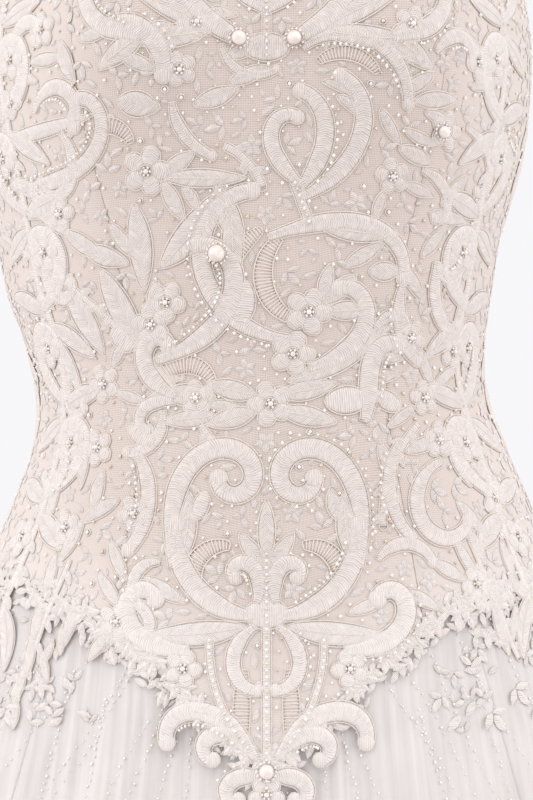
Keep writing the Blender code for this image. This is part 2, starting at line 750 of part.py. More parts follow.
def apart_at_pinches(points, triangles):
    """Gives each fan of triangles that meets another at one point its own copy, drawn back a little."""
    points, triangles = points.copy(), triangles.copy()
    at_point = {}
    for number, triangle in enumerate(triangles.tolist()):
        for corner in triangle:
            at_point.setdefault(corner, []).append(number)
    extra = []
    for corner, numbers in at_point.items():
        fans = []
        for number in numbers:
            others = set(triangles[number].tolist()) - {corner}
            touching = [fan for fan in fans if fan[0] & others]
            merged = (set(others), [number])
            for fan in touching:
                merged = (merged[0] | fan[0], merged[1] + fan[1])
                fans.remove(fan)
            fans.append(merged)
        if len(fans) < 2:
            continue
        for others, members in fans:
            centre = points[list(others)].mean(axis=0)
            away = centre - points[corner]
            copy = points[corner] + away / np.linalg.norm(away) * 4 * MERGE_WITHIN
            for number in members:
                row = triangles[number]
                row[row == corner] = len(points) + len(extra)
            extra.append(copy)
    if extra:
        points = np.concatenate([points, np.array(extra)])
    return points, triangles


def wrapped(across, up, middle):
    """Flat lace points to angles and heights: `across` is measured round the body from the angle
    `middle`, and `up` is the height."""
    height = up * MM
    turns = np.linspace(-math.pi, math.pi, 361)
    ring = body_point(middle + turns[None, :], height[:, None] + 0 * turns[None, :])
    steps = np.linalg.norm(np.diff(ring, axis=1), axis=-1)
    length = np.concatenate([np.zeros((len(height), 1)), np.cumsum(steps, axis=1)], axis=1)
    length = length - length[:, 180:181]
    found = [np.interp(a * MM, row, turns) for a, row in zip(across, length)]
    return middle + np.array(found), height


def lace_points(flat, lift, middle):
    """Lace over the bodice, and below the waist seam down on to the crests of the net."""
    angle, height = wrapped(flat[:, 0], flat[:, 1], middle)
    below = (seam_height(angle) - height) / MM
    drop = NET_INSET / MM * smooth((below - DRAPE_STARTS) / (DRAPE_ENDS - DRAPE_STARTS))
    return moved_out(body_point, angle, height, (lift - drop) * MM)


def cloth_under_lace(collection):
    """The bodice panels and net gores as one tree of triangles."""
    points, faces = [], []
    for piece in collection.objects:
        if piece.name.startswith(("bodice", "skirt")):
            piece.data.calc_loop_triangles()
            faces += [tuple(i + len(points) for i in face.vertices) for face in piece.data.loop_triangles]
            points += [vertex.co.copy() for vertex in piece.data.vertices]
    return BVHTree.FromPolygons(points, faces)


def settled_lift(flat, triangles, middle, cloth):
    """The lift of each point with which every lace triangle stays CLEARANCE outside the cloth."""
    lift = np.full(len(flat), LACE_LIFT)
    shares = np.array([(i, j, SAMPLES - i - j) for i in range(SAMPLES + 1) for j in range(SAMPLES + 1 - i)])
    shares = shares / SAMPLES
    for _ in range(SETTLING_ROUNDS):
        corners = lace_points(flat, lift, middle)[triangles]
        raised = lift.copy()
        for row, spots in zip(triangles, np.einsum("sc,tcx->tsx", shares, corners)):
            for spot in spots.tolist():
                near, normal, _, _ = cloth.find_nearest(spot)
                short = CLEARANCE - (Vector(spot) - near).dot(normal) / MM
                raised[row] = np.maximum(raised[row], lift[row] + max(short, 0))
        if np.array_equal(raised, lift):
            break
        lift = raised
    return lift


def add_lace(name, motifs, middle, cloth, collection):
    """Joins motifs into one raised piece of lace, and sets it on the bodice. A motif that meets no
    other is a piece of its own."""
    flat, triangles = joined_flat(motifs)
    for number, part in enumerate(connected_parts(triangles)):
        if counter_clockwise(flat, part)[1].sum() < LEAST_PIECE:
            continue
        used, part = np.unique(part, return_inverse=True)
        points, part = apart_at_pinches(flat[used], part.reshape(-1, 3))
        count = len(points)
        lift = settled_lift(points, part, middle, cloth)
        bottom = lace_points(points, lift, middle)
        top = lace_points(points, lift + lace_height(points, motifs), middle)
        faces = part.tolist() + (part[:, ::-1] + count).tolist()
        faces += [(b, a, a + count, b + count) for a, b in border_edges(part)]
        own = name if number == 0 else f"{name}_{number + 1}"
        mesh = bpy.data.meshes.new(own)
        mesh.from_pydata(np.concatenate([top, bottom]).tolist(), [], faces)
        add_object(own, mesh, "lace", collection)


def mirrored(motifs):
    """Motifs turned over left to right."""
    return [(m[0], -m[1], m[2], 180 - m[3], m[4], m[5], -m[6], -m[7]) for m in motifs]


def shifted(motifs, across, up):
    return [(m[0], m[1] + across, m[2] + up, *m[3:]) for m in motifs]


def add_all_lace(collection):
    cloth = cloth_under_lace(collection)
    medallion = MEDALLION_HALF + mirrored(MEDALLION_HALF) + MEDALLION_SPINE
    add_lace("lace_medallion", medallion, 0, cloth, collection)
    add_lace("lace_front", UPPER_LACE, 0, cloth, collection)
    add_lace("lace_bust", BUST_HALF + mirrored(BUST_HALF) + BUST_SPINE, 0, cloth, collection)
    for name, middle, first, count, step, unit, spray in RUNS:
        motifs = shifted(SPRAY, 0, spray)
        for number in range(count):
            own = unit if (number % 2 == 0) == (middle > 0) else mirrored(unit)
            motifs += shifted(own, 0, first - number * step)
        add_lace(name, motifs, math.radians(middle), cloth, collection)


def make_zip_tape(collection):
    """A closed invisible zip: a narrow tape behind the seam in the middle of the back."""
    height = np.linspace(ZIP_BOTTOM, ZIP_TOP, ZIP_ROWS)[:, None]
    across = np.linspace(-1, 1, 4)[None, :] * ZIP_HALF_WIDTH / MM
    flat = np.stack(np.broadcast_arrays(across, height / MM), axis=-1).reshape(-1, 2)
    angle, level = wrapped(flat[:, 0], flat[:, 1], math.pi)
    into = smooth((ZIP_STEP_TOP - level) / (ZIP_STEP_TOP - ZIP_STEP_BOTTOM))
    inset = ZIP_INSET_BODICE + (underskirt_inset(level) + ZIP_BEHIND_UNDERSKIRT - ZIP_INSET_BODICE) * into
    outer = moved_out(body_point, angle, level, -inset).reshape(ZIP_ROWS, -1, 3)
    inner = moved_out(body_point, angle, level, -inset - ZIP_WALL).reshape(ZIP_ROWS, -1, 3)
    add_object("zip_tape", wall_mesh("zip_tape", outer, inner), "zip_tape", collection)


def box(name, size, centre, collection):
    mesh = bpy.data.meshes.new(name)
    shape = bmesh.new()
    bmesh.ops.create_cube(shape, size=1)
    bmesh.ops.scale(shape, vec=size, verts=shape.verts)
    bmesh.ops.translate(shape, vec=centre, verts=shape.verts)
    shape.to_mesh(mesh)
    shape.free()
    piece = bpy.data.objects.new(name, mesh)
    collection.objects.link(piece)
    return piece


def rod(name, radius, length, centre, collection, segments=16):
    """A cylinder that lies along X."""
    mesh = bpy.data.meshes.new(name)
    shape = bmesh.new()
    bmesh.ops.create_cone(
        shape, cap_ends=True, segments=segments, radius1=radius, radius2=radius, depth=length
    )
    for vertex in shape.verts:
        vertex.co = Vector((vertex.co.z, vertex.co.x, vertex.co.y)) + centre
    bmesh.ops.recalc_face_normals(shape, faces=shape.faces)
    shape.to_mesh(mesh)
    shape.free()
    piece = bpy.data.objects.new(name, mesh)
    collection.objects.link(piece)
    return piece


def combine(piece, others, operation):
    for other in others:
        other.hide_render = True
        other.display_type = "WIRE"
        step = piece.modifiers.new(operation.title(), "BOOLEAN")
        step.operation = operation
        step.object = other
        step.solver = "EXACT"


def make_zip_pull(collection, helpers):
    """The slider at the top of the zip, and the tab that swings on its pin. The tab hangs at rest."""
    surface = body_point(np.array(math.pi), np.array(SLIDER_HEIGHT))
    base = Vector((0, float(surface[1]) + SLIDER_LIFT, SLIDER_HEIGHT))
    body_centre = base + Vector((0, SLIDER_SIZE.y / 2, 0))
    axis = base + Vector((0, SLIDER_SIZE.y + AXIS_ABOVE_SLIDER, 2 * MM))
    slider = box("zip_slider", SLIDER_SIZE, body_centre, collection)
    lugs = []
    for side in (-1, 1):
        centre = axis + Vector((side * LUG_APART / 2, -LUG_SIZE.y / 2 + PIN_RADIUS * 1.8, 0))
        lugs.append(box(f"lug_{side + 1}", LUG_SIZE, centre, helpers))
    pin = rod("pin", PIN_RADIUS, LUG_APART + LUG_SIZE.x * 0.8, axis, helpers, segments=12)
    combine(slider, [*lugs, pin], "UNION")
    slider.data.materials.append(finish("zip_metal"))

    eye = rod("zip_pull", EYE_RADIUS, EYE_WIDTH, axis, collection)
    tab_centre = axis - Vector((0, 0, TAB_SIZE.z / 2 + EYE_RADIUS * 0.7))
    tab = box("tab", TAB_SIZE, tab_centre, helpers)
    for vertex in tab.data.vertices:
        if vertex.co.z > tab_centre.z:
            vertex.co.x *= TAB_TAPER
    hole = rod("hole", EYE_HOLE, EYE_WIDTH * 2, axis, helpers, segments=12)
    combine(eye, [tab], "UNION")
    combine(eye, [hole], "DIFFERENCE")
    eye.data.materials.append(finish("zip_metal"))


def main():
    for piece in list(bpy.data.objects):
        bpy.data.objects.remove(piece, do_unlink=True)
    collection = bpy.data.collections.new("wedding_dress")
    helpers = bpy.data.collections.new("helpers")
    bpy.context.scene.collection.children.link(collection)
    bpy.context.scene.collection.children.link(helpers)
    make_bodice(collection)
    make_skirt(collection)
    add_all_lace(collection)
    make_zip_tape(collection)
    make_zip_pull(collection, helpers)


main()
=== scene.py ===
# %% [markdown]
# # A lace wedding dress
#
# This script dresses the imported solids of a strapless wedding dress. The solids have the dress's
# form and size. What is added here is what the eye looks for: fine net over a blush lining, lace made
# of padded satin stitch with a cord round every edge, beads and pearls, a skirt of soft
# net, and a satin underskirt. The unit is the metre, and small sizes are given in millimetres.

# %% Load the solids
import math

import bpy
import numpy as np
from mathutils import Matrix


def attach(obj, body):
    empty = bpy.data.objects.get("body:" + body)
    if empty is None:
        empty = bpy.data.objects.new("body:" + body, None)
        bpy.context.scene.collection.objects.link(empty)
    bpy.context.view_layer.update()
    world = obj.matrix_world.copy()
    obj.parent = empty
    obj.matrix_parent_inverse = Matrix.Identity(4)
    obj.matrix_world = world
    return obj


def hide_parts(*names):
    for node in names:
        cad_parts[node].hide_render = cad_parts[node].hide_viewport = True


MM = 0.001
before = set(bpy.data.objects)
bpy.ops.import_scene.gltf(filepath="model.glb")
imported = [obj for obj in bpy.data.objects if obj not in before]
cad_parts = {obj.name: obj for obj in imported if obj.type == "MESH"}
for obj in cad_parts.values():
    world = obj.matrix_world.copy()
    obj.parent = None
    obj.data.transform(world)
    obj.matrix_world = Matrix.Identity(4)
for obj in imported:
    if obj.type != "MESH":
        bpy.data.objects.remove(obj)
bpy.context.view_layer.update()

# %% [markdown]
# ## The body surface
#
# All the cloth follows one surface. A point on it has an angle round the body, 0 at the middle of the
# front, and a height above the waist. Its level sections are two half ellipses, one in front and one
# behind, and two soft bumps make the bust. A formula is used and not a sculpted mesh, because every
# piece can then be worked out on it and lies on it exactly.

# %% Body surface
# Columns: height, half width, depth to the front, depth to the back, lean to one side, in metres
SECTIONS = np.array(
    [
        (-1.090, 0.590, 0.520, 0.620, 0.0000),
        (-0.700, 0.420, 0.320, 0.400, 0.0000),
        (-0.450, 0.310, 0.198, 0.262, 0.0000),
        (-0.300, 0.241, 0.141, 0.190, 0.0000),
        (-0.215, 0.202, 0.121, 0.155, 0.0000),
        (-0.160, 0.177, 0.114, 0.136, 0.0000),
        (-0.110, 0.155, 0.108, 0.120, 0.0015),
        (-0.065, 0.136, 0.101, 0.105, 0.0027),
        (-0.038, 0.1255, 0.096, 0.096, 0.0014),
        (-0.016, 0.121, 0.093, 0.090, -0.0020),
        (0.000, 0.121, 0.092, 0.088, -0.0046),
        (0.016, 0.1235, 0.0925, 0.089, -0.0065),
        (0.038, 0.129, 0.094, 0.092, -0.0090),
        (0.070, 0.135, 0.096, 0.097, -0.0100),
        (0.119, 0.148, 0.100, 0.102, -0.0100),
        (0.165, 0.152, 0.103, 0.104, -0.0100),
        (0.200, 0.149, 0.098, 0.103, -0.0100),
        (0.255, 0.138, 0.086, 0.097, -0.0100),
    ]
)


def through(table, at):
    """Smooth cubic curves through each column of a table, read at the values `at` of column one."""
    keys, values = table[:, 0].astype(float), table[:, 1:].astype(float)
    slopes = np.gradient(values, keys, axis=0)
    at = np.clip(np.asarray(at, float), keys[0], keys[-1])
    low = np.clip(np.searchsorted(keys, at, side="right") - 1, 0, len(keys) - 2)
    span = (keys[low + 1] - keys[low])[..., None]
    t = (at - keys[low])[..., None] / span
    near = values[low] * (1 + 2 * t) * (1 - t) ** 2 + slopes[low] * span * t * (1 - t) ** 2
    return near + values[low + 1] * t**2 * (3 - 2 * t) + slopes[low + 1] * span * t**2 * (t - 1)


def smooth(t):
    """0 up to t = 0, 1 from t = 1, and 3t^2 - 2t^3 between."""
    t = np.clip(t, 0, 1)
    return t * t * (3 - 2 * t)


def body_point(angle, height):
    """x = half width * sin(angle), y = -depth * cos(angle), less a bell-shaped bump for each cup."""
    half_width, front, back, lean = np.moveaxis(through(SECTIONS, height), -1, 0)
    sine, cosine = np.sin(angle), np.cos(angle)
    x = half_width * sine + lean * sine**2
    y = -np.where(cosine > 0, front, back) * cosine
    cup = 0.021 * np.exp(-(((np.abs(x) - 0.078) / 0.046) ** 2) - ((height - 0.172) / 0.060) ** 2)
    return np.stack([x, y - cup * np.clip(cosine, 0, 1), height + 0 * x], axis=-1)


def moved_out(surface, angle, height, lift):
    """surface(angle, height) + normal * lift, where the normal is the cross product of two steps."""
    step = 1e-4
    across = surface(angle + step, height) - surface(angle - step, height)
    up = surface(angle, height + step) - surface(angle, height - step)
    normal = np.cross(across, up)
    normal /= np.linalg.norm(normal, axis=-1, keepdims=True)
    return surface(angle, height) + normal * np.asarray(lift)[..., None]


waist = body_point(np.linspace(0, 2 * math.pi, 721), np.zeros(721))
print("waist:", round(float(np.linalg.norm(np.diff(waist, axis=0), axis=1).sum()), 3), "m round")

# %% [markdown]
# ## Camera, floor and light
#
# The picture is a close view, level with the waist and straight from the front, so a long lens from
# a little over a metre away gives its flat perspective. The light is high-key: a pale room all round,
# one large soft light high on the left that models the stitching, and a weaker one on the right. The
# floor is plain and pale.

# %% Camera, floor and light
scene = bpy.context.scene
scene.view_settings.view_transform = "Standard"

camera_data = bpy.data.cameras.new("close_view")
camera_data.lens = 100
camera = bpy.data.objects.new("close_view", camera_data)
camera.location = (0, -1.2, -0.016)
camera.rotation_euler = (math.pi / 2, 0, 0)
scene.collection.objects.link(camera)
scene.camera = camera


def soft_light(name, place, aim, size, watts, colour):
    """A square area light at `place`, turned so that its -Z looks at `aim`."""
    data = bpy.data.lights.new(name, "AREA")
    data.size, data.energy, data.color = size, watts, colour
    light = bpy.data.objects.new(name, data)
    way = np.array(aim, float) - np.array(place, float)
    flat = math.hypot(way[0], way[1])
    light.location = place
    light.rotation_euler = (math.atan2(flat, -way[2]), 0, math.atan2(-way[0], way[1]))
    scene.collection.objects.link(light)


soft_light("skylight", (-0.4, -1.9, 2.8), (0, 0, -0.15), 2.0, 29, (1.0, 0.985, 0.975))
soft_light("left_window", (-2.8, -0.9, 0.5), (0, 0, -0.05), 2.2, 34, (1.0, 0.985, 0.975))
soft_light("right_window", (2.8, -0.9, 0.5), (0, 0, -0.05), 2.2, 33, (1.0, 0.985, 0.98))
soft_light("behind", (0.4, 3.2, 1.6), (0, 0, -0.2), 2.4, 30, (1.0, 0.99, 0.98))

world = bpy.data.worlds.new("pale_room")
world.use_nodes = True
tree = world.node_tree
room = tree.nodes["Background"]
room.inputs["Color"].default_value = (1.0, 0.985, 0.995, 1)
room.inputs["Strength"].default_value = 0.85
seen = tree.nodes.new("ShaderNodeBackground")
seen.inputs["Color"].default_value = (0.935, 0.925, 0.95, 1)
path = tree.nodes.new("ShaderNodeLightPath")
either = tree.nodes.new("ShaderNodeMixShader")
tree.links.new(path.outputs["Is Camera Ray"], either.inputs[0])
tree.links.new(room.outputs[0], either.inputs[1])
tree.links.new(seen.outputs[0], either.inputs[2])
tree.links.new(either.outputs[0], tree.nodes["World Output"].inputs["Surface"])
scene.world = world
print("camera at", tuple(round(v, 3) for v in camera.location))

# %% [markdown]
# ## Two helpers for materials
#
# Colours are written as sRGB hex codes, as a fabric card or a paint chart gives them. The renderer
# works in linear light, so one function turns them over. A second function adds one node with its
# settings and its links, so that each material below reads as a short list.

# %% Colour and node helpers
def linear(code):
    """sRGB to linear: ((c + 0.055) / 1.055) ** 2.4 for each channel c, or c / 12.92 where it is dark."""
    c = np.array([int(code[i : i + 2], 16) for i in (1, 3, 5)]) / 255
    return (*np.where(c <= 0.04045, c / 12.92, ((c + 0.055) / 1.055) ** 2.4).tolist(), 1.0)


def add_node(material, kind, links=None, values=None, **attributes):
    """Adds one node. `attributes` are set first. `links` maps an input's name or number to the output
    that feeds it, and `values` maps an input to its fixed value."""
    node = material.node_tree.nodes.new(kind)
    for name, value in attributes.items():
        setattr(node, name, value)
    for name, value in (values or {}).items():
        node.inputs[name].default_value = value
    for name, output in (links or {}).items():
        material.node_tree.links.new(output, node.inputs[name])
    return node


def new_material(name, **sockets):
    """A Principled material. Underscores in a socket's name stand for spaces."""
    material = bpy.data.materials.new(name)
    material.use_nodes = True
    shader = material.node_tree.nodes["Principled BSDF"]
    for key, value in sockets.items():
        shader.inputs[key.replace("_", " ")].default_value = value
    return material, shader


print("linear blush:", [round(v, 3) for v in linear("#D5C6BF")])

# %% [markdown]
# ## Net over a blush lining
#
# The bodice's ground is fine hexagonal bobbin net, about 1 mm from hole to hole, laid over a matt
# crepe lining of a warm blush. The net is far too fine to model, so its threads are drawn: a point's
# distance from the middle of its hexagon says whether it is on a thread. Two square lattices, one
# half a step along, hold all the middles, and the nearer middle is the point's own. The pattern reads
# the piece's UV map, which holds millimetres measured over the cloth.

# %% Net over a blush lining
NET_PITCH = 1.15  # mm from hole to hole. Real net has 0.9 to 1.1 mm: a little coarser shows better
A, B, MIXED = 6, 7, 2  # the colour sockets of a Mix node


def hexagon_distance(material, pitch):
    """max(|y|, |y| / 2 + |x| * sqrt(3) / 2) from the nearest middle: 0 there and pitch / 2 on a thread."""
    uv = add_node(material, "ShaderNodeUVMap").outputs[0]
    wide, tall = pitch * math.sqrt(3), pitch
    found = []
    for across, up in ((0, 0), (wide / 2, tall / 2)):
        shift = {1: (across + 1000 * wide, up + 1000 * tall, 0)}
        moved = add_node(material, "ShaderNodeVectorMath", {0: uv}, shift, operation="ADD")
        cell = {1: (wide, tall, 1)}
        within = add_node(material, "ShaderNodeVectorMath", {0: moved.outputs[0]}, cell, operation="MODULO")
        half = {1: (wide / 2, tall / 2, 0)}
        centred = add_node(material, "ShaderNodeVectorMath", {0: within.outputs[0]}, half, operation="SUBTRACT")
        size = add_node(material, "ShaderNodeVectorMath", {0: centred.outputs[0]}, operation="ABSOLUTE")
        x, y, _ = add_node(material, "ShaderNodeSeparateXYZ", {0: size.outputs[0]}).outputs
        slant = add_node(material, "ShaderNodeMath", {0: y}, {1: 0.5}, operation="MULTIPLY")
        rise = add_node(
            material,
            "ShaderNodeMath",
            {0: x, 2: slant.outputs[0]},
            {1: math.sqrt(3) / 2},
            operation="MULTIPLY_ADD",
        )
        found.append(add_node(material, "ShaderNodeMath", {0: rise.outputs[0], 1: y}, operation="MAXIMUM"))
    both = {0: found[0].outputs[0], 1: found[1].outputs[0]}
    return add_node(material, "ShaderNodeMath", both, operation="MINIMUM").outputs[0]


def net_mask(material, pitch, thread):
    """1 on a thread of that width, and 0 in the holes."""
    reach = {"From Min": pitch / 2 - thread, "From Max": pitch / 2 - thread / 4}
    distance = {"Value": hexagon_distance(material, pitch)}
    return add_node(material, "ShaderNodeMapRange", distance, reach).outputs[0]


def painted_edge_light(material, place, most):
    """Painted light: 0 in the middle of the front, and `most` at the sides and at the waist seam, a paler colour
    that stands in for light wrapping round the sides and brighter light low on the front: the larger of a step over
    |x| and a step over z - |x| / 2."""
    across, _, level = add_node(material, "ShaderNodeSeparateXYZ", {0: place}).outputs
    outer = add_node(material, "ShaderNodeMath", {0: across}, operation="ABSOLUTE").outputs[0]
    sunk = add_node(material, "ShaderNodeMath", {0: outer, 2: level}, {1: -0.5}, operation="MULTIPLY_ADD").outputs[0]
    low = {"From Min": -0.095, "From Max": -0.170, "To Max": most}
    side = {"From Min": 0.070, "From Max": 0.125, "To Max": most * 0.75}
    seam = add_node(material, "ShaderNodeMapRange", {"Value": sunk}, low, interpolation_type="SMOOTHSTEP")
    edge = add_node(material, "ShaderNodeMapRange", {"Value": outer}, side, interpolation_type="SMOOTHSTEP")
    both = {0: seam.outputs[0], 1: edge.outputs[0]}
    return add_node(material, "ShaderNodeMath", both, operation="MAXIMUM").outputs[0]


net_ground, shader = new_material("bobbin_net_over_crepe", Roughness=0.82, Sheen_Weight=0.12)
mask = net_mask(net_ground, NET_PITCH, 0.32)
place = add_node(net_ground, "ShaderNodeTexCoord").outputs["Object"]
cloudy = add_node(net_ground, "ShaderNodeTexNoise", {"Vector": place}, {"Scale": 22, "Detail": 3}).outputs[0]
lining = add_node(
    net_ground,
    "ShaderNodeMix",
    {0: cloudy},
    {A: linear("#B7A89F"), B: linear("#C8BBB4")},
    data_type="RGBA",
)
# Painted light: the lining is mixed towards a pale tone at the sides and near the waist seam, for light wrapping round
# the sides and brighter light low down.
lined = add_node(
    net_ground,
    "ShaderNodeMix",
    {0: painted_edge_light(net_ground, place, 0.9), A: lining.outputs[MIXED]},
    {B: linear("#E6DCD8")},
    data_type="RGBA",
)
threads = add_node(
    net_ground,
    "ShaderNodeMix",
    {0: mask, A: lined.outputs[MIXED]},
    {B: linear("#DCD1CA")},
    data_type="RGBA",
)
bump = add_node(net_ground, "ShaderNodeBump", {"Height": mask}, {"Strength": 0.35, "Distance": 0.0003})
net_ground.node_tree.links.new(threads.outputs[MIXED], shader.inputs["Base Color"])
net_ground.node_tree.links.new(bump.outputs[0], shader.inputs["Normal"])
print("net threads every", NET_PITCH, "mm")

# %% [markdown]
# ## Satin stitch, cord and beads
#
# The motifs are worked in rayon, a bright filament thread laid side by side over padding. It gives a
# soft sheen across the stitches and fine grooves between them, about 0.45 mm apart in the real lace.
# They are drawn 1.35 mm apart here, because the picture has two pixels to a millimetre and the real
# lace shows its stitches in bundles of about that size. Every motif has a twisted cord round it. The
# beads are glass, some lined with pale gold, and the pearls have a soft lustre.

# %% Satin stitch, cord and beads
STITCH_PITCH = 1.15  # mm

satin_stitch, shader = new_material("rayon_satin_stitch", Roughness=0.5, Sheen_Weight=0.25)
uv = add_node(satin_stitch, "ShaderNodeUVMap").outputs[0]
scaled = {1: (2 * math.pi / STITCH_PITCH, 0, 0)}
turns = add_node(satin_stitch, "ShaderNodeVectorMath", {0: uv}, scaled, operation="MULTIPLY").outputs[0]
turn, _, _ = add_node(satin_stitch, "ShaderNodeSeparateXYZ", {0: turns}).outputs
wave = add_node(satin_stitch, "ShaderNodeMath", {0: turn}, operation="SINE").outputs[0]
drawn = add_node(satin_stitch, "ShaderNodeVectorMath", {0: uv}, {1: (1.0, 0.16, 0)}, operation="MULTIPLY").outputs[0]
thread = add_node(satin_stitch, "ShaderNodeTexNoise", {"Vector": drawn}, {"Scale": 1.2, "Detail": 3}).outputs[0]
ridge = add_node(satin_stitch, "ShaderNodeMath", {0: thread, 2: wave}, {1: 5.0}, operation="MULTIPLY_ADD").outputs[0]
groove = add_node(
    satin_stitch, "ShaderNodeMapRange", {"Value": ridge}, {"From Min": 0.6, "From Max": 4.4}
).outputs[0]
# Painted light: the colour runs from a darker tone in the grooves between stitches, painted shade, to a lighter tone
# on the stitches' tops, a painted sheen.
painted_sheen_and_groove_shade = add_node(
    satin_stitch,
    "ShaderNodeMix",
    {0: groove},
    {A: linear("#CCC0BA"), B: linear("#EDE5E1")},
    data_type="RGBA",
)
place = add_node(satin_stitch, "ShaderNodeTexCoord").outputs["Object"]
# Painted light: the stitching is mixed towards a pale tone at the sides and near the waist seam in the same way.
stitch_and_edge_light = add_node(
    satin_stitch,
    "ShaderNodeMix",
    {0: painted_edge_light(satin_stitch, place, 0.55), A: painted_sheen_and_groove_shade.outputs[MIXED]},
    {B: linear("#F3EDEA")},
    data_type="RGBA",
)
bump = add_node(satin_stitch, "ShaderNodeBump", {"Height": groove}, {"Strength": 0.75, "Distance": 0.0006})
satin_stitch.node_tree.links.new(stitch_and_edge_light.outputs[MIXED], shader.inputs["Base Color"])
satin_stitch.node_tree.links.new(bump.outputs[0], shader.inputs["Normal"])

gimp_cord, shader = new_material("twisted_gimp_cord", Roughness=0.55, Sheen_Weight=0.2)
place = add_node(gimp_cord, "ShaderNodeTexCoord").outputs["Object"]
twist = add_node(gimp_cord, "ShaderNodeTexNoise", {"Vector": place}, {"Scale": 1400, "Detail": 1}).outputs[0]
strand = add_node(
    gimp_cord, "ShaderNodeMix", {0: twist}, {A: linear("#DACEC4"), B: linear("#EDE4DC")}, data_type="RGBA"
)
bump = add_node(gimp_cord, "ShaderNodeBump", {"Height": twist}, {"Strength": 0.5, "Distance": 0.0003})
gimp_cord.node_tree.links.new(strand.outputs[MIXED], shader.inputs["Base Color"])
gimp_cord.node_tree.links.new(bump.outputs[0], shader.inputs["Normal"])



def bead_material(name, darker, lighter, **values):
    """A bead's material. Its colour drifts between two tones over a few millimetres, so no two beads match."""
    made, shader = new_material(name, **values)
    place = add_node(made, "ShaderNodeTexCoord").outputs["Object"]
    drift = add_node(made, "ShaderNodeTexNoise", {"Vector": place}, {"Scale": 260, "Detail": 2}).outputs[0]
    spread = add_node(made, "ShaderNodeMapRange", {"Value": drift}, {"From Min": 0.35, "From Max": 0.65}).outputs[0]
    tone = add_node(made, "ShaderNodeMix", {0: spread}, {A: linear(darker), B: linear(lighter)}, data_type="RGBA")
    made.node_tree.links.new(tone.outputs[MIXED], shader.inputs["Base Color"])
    return made


pearl = bead_material(
    "cultured_pearl", "#E3D6CE", "#F4ECE7", Roughness=0.24, Coat_Weight=0.6, Coat_Roughness=0.1
)
clear_glass = bead_material("clear_glass_bead", "#EFEAE7", "#FDFAF8", Roughness=0.14, IOR=1.52, Coat_Weight=0.8)
gold_lined = bead_material("gold_lined_bead", "#DDCCB8", "#F0E6DA", Roughness=0.16, Metallic=0.35)
print("materials:", len(bpy.data.materials))

# %% [markdown]
# ## Soft net, satin and the zip's metal
#
# The skirt's net is so fine that it shows as a pale haze with brighter streaks where folds lie edge on.
# A low alpha gives part of that, as a fold seen edge on crosses more net, and the rest is painted light:
# lighter and darker streaks that fan out round the skirt in the net's colour. The underskirt is heavy
# satin, smooth with a slow gloss. The zip's tape is plain woven, and its slider is nickel-plated.

# %% Soft net, satin and the zip's metal
soft_net, shader = new_material("soft_silk_net", Roughness=0.75, Sheen_Weight=0.35, Alpha=0.62)
place = add_node(soft_net, "ShaderNodeTexCoord").outputs["Object"]
haze = add_node(soft_net, "ShaderNodeTexNoise", {"Vector": place}, {"Scale": 30, "Detail": 4}).outputs[0]
side = add_node(soft_net, "ShaderNodeSeparateXYZ", {0: place}).outputs
back = add_node(soft_net, "ShaderNodeMath", {0: side[1]}, {1: -1.0}, operation="MULTIPLY").outputs[0]
turn = add_node(soft_net, "ShaderNodeMath", {0: side[0], 1: back}, operation="ARCTAN2").outputs[0]
fan = add_node(soft_net, "ShaderNodeCombineXYZ", {0: turn, 1: side[2]}).outputs[0]
fan_size = {1: (34.0, 5.0, 0)}
fan = add_node(soft_net, "ShaderNodeVectorMath", {0: fan}, fan_size, operation="MULTIPLY").outputs[0]
# Painted light: streaks that fan out down the skirt, lighter and darker, stand in for the light and shade of the net's
# folds.
painted_fold_streaks = add_node(soft_net, "ShaderNodeTexNoise", {"Vector": fan}, {"Scale": 1, "Detail": 3}).outputs[0]
painted_fold_streaks = add_node(soft_net, "ShaderNodeMapRange", {"Value": painted_fold_streaks}, {"From Min": 0.3, "From Max": 0.7}).outputs[0]
haze_and_fold_streaks = add_node(soft_net, "ShaderNodeMath", {0: haze, 1: painted_fold_streaks}, operation="ADD").outputs[0]
haze_and_fold_streaks = add_node(soft_net, "ShaderNodeMath", {0: haze_and_fold_streaks}, {1: 0.5}, operation="MULTIPLY").outputs[0]
tint = add_node(
    soft_net, "ShaderNodeMix", {0: haze_and_fold_streaks}, {A: linear("#DFD7D4"), B: linear("#FFFDFC")}, data_type="RGBA"
)
soft_net.node_tree.links.new(tint.outputs[MIXED], shader.inputs["Base Color"])

satin, shader = new_material("duchess_satin", Roughness=0.42, Sheen_Weight=0.2)
uv = add_node(satin, "ShaderNodeUVMap").outputs[0]
weave_size = {1: (6.0, 1.2, 0)}
weft = add_node(satin, "ShaderNodeVectorMath", {0: uv}, weave_size, operation="MULTIPLY").outputs[0]
slub = add_node(satin, "ShaderNodeTexNoise", {"Vector": weft}, {"Scale": 0.7, "Detail": 3}).outputs[0]
tone = add_node(satin, "ShaderNodeMix", {0: slub}, {A: linear("#EEE6E3"), B: linear("#F6F1EF")}, data_type="RGBA")
bump = add_node(satin, "ShaderNodeBump", {"Height": slub}, {"Strength": 0.12, "Distance": 0.0003})
satin.node_tree.links.new(tone.outputs[MIXED], shader.inputs["Base Color"])
satin.node_tree.links.new(bump.outputs[0], shader.inputs["Normal"])

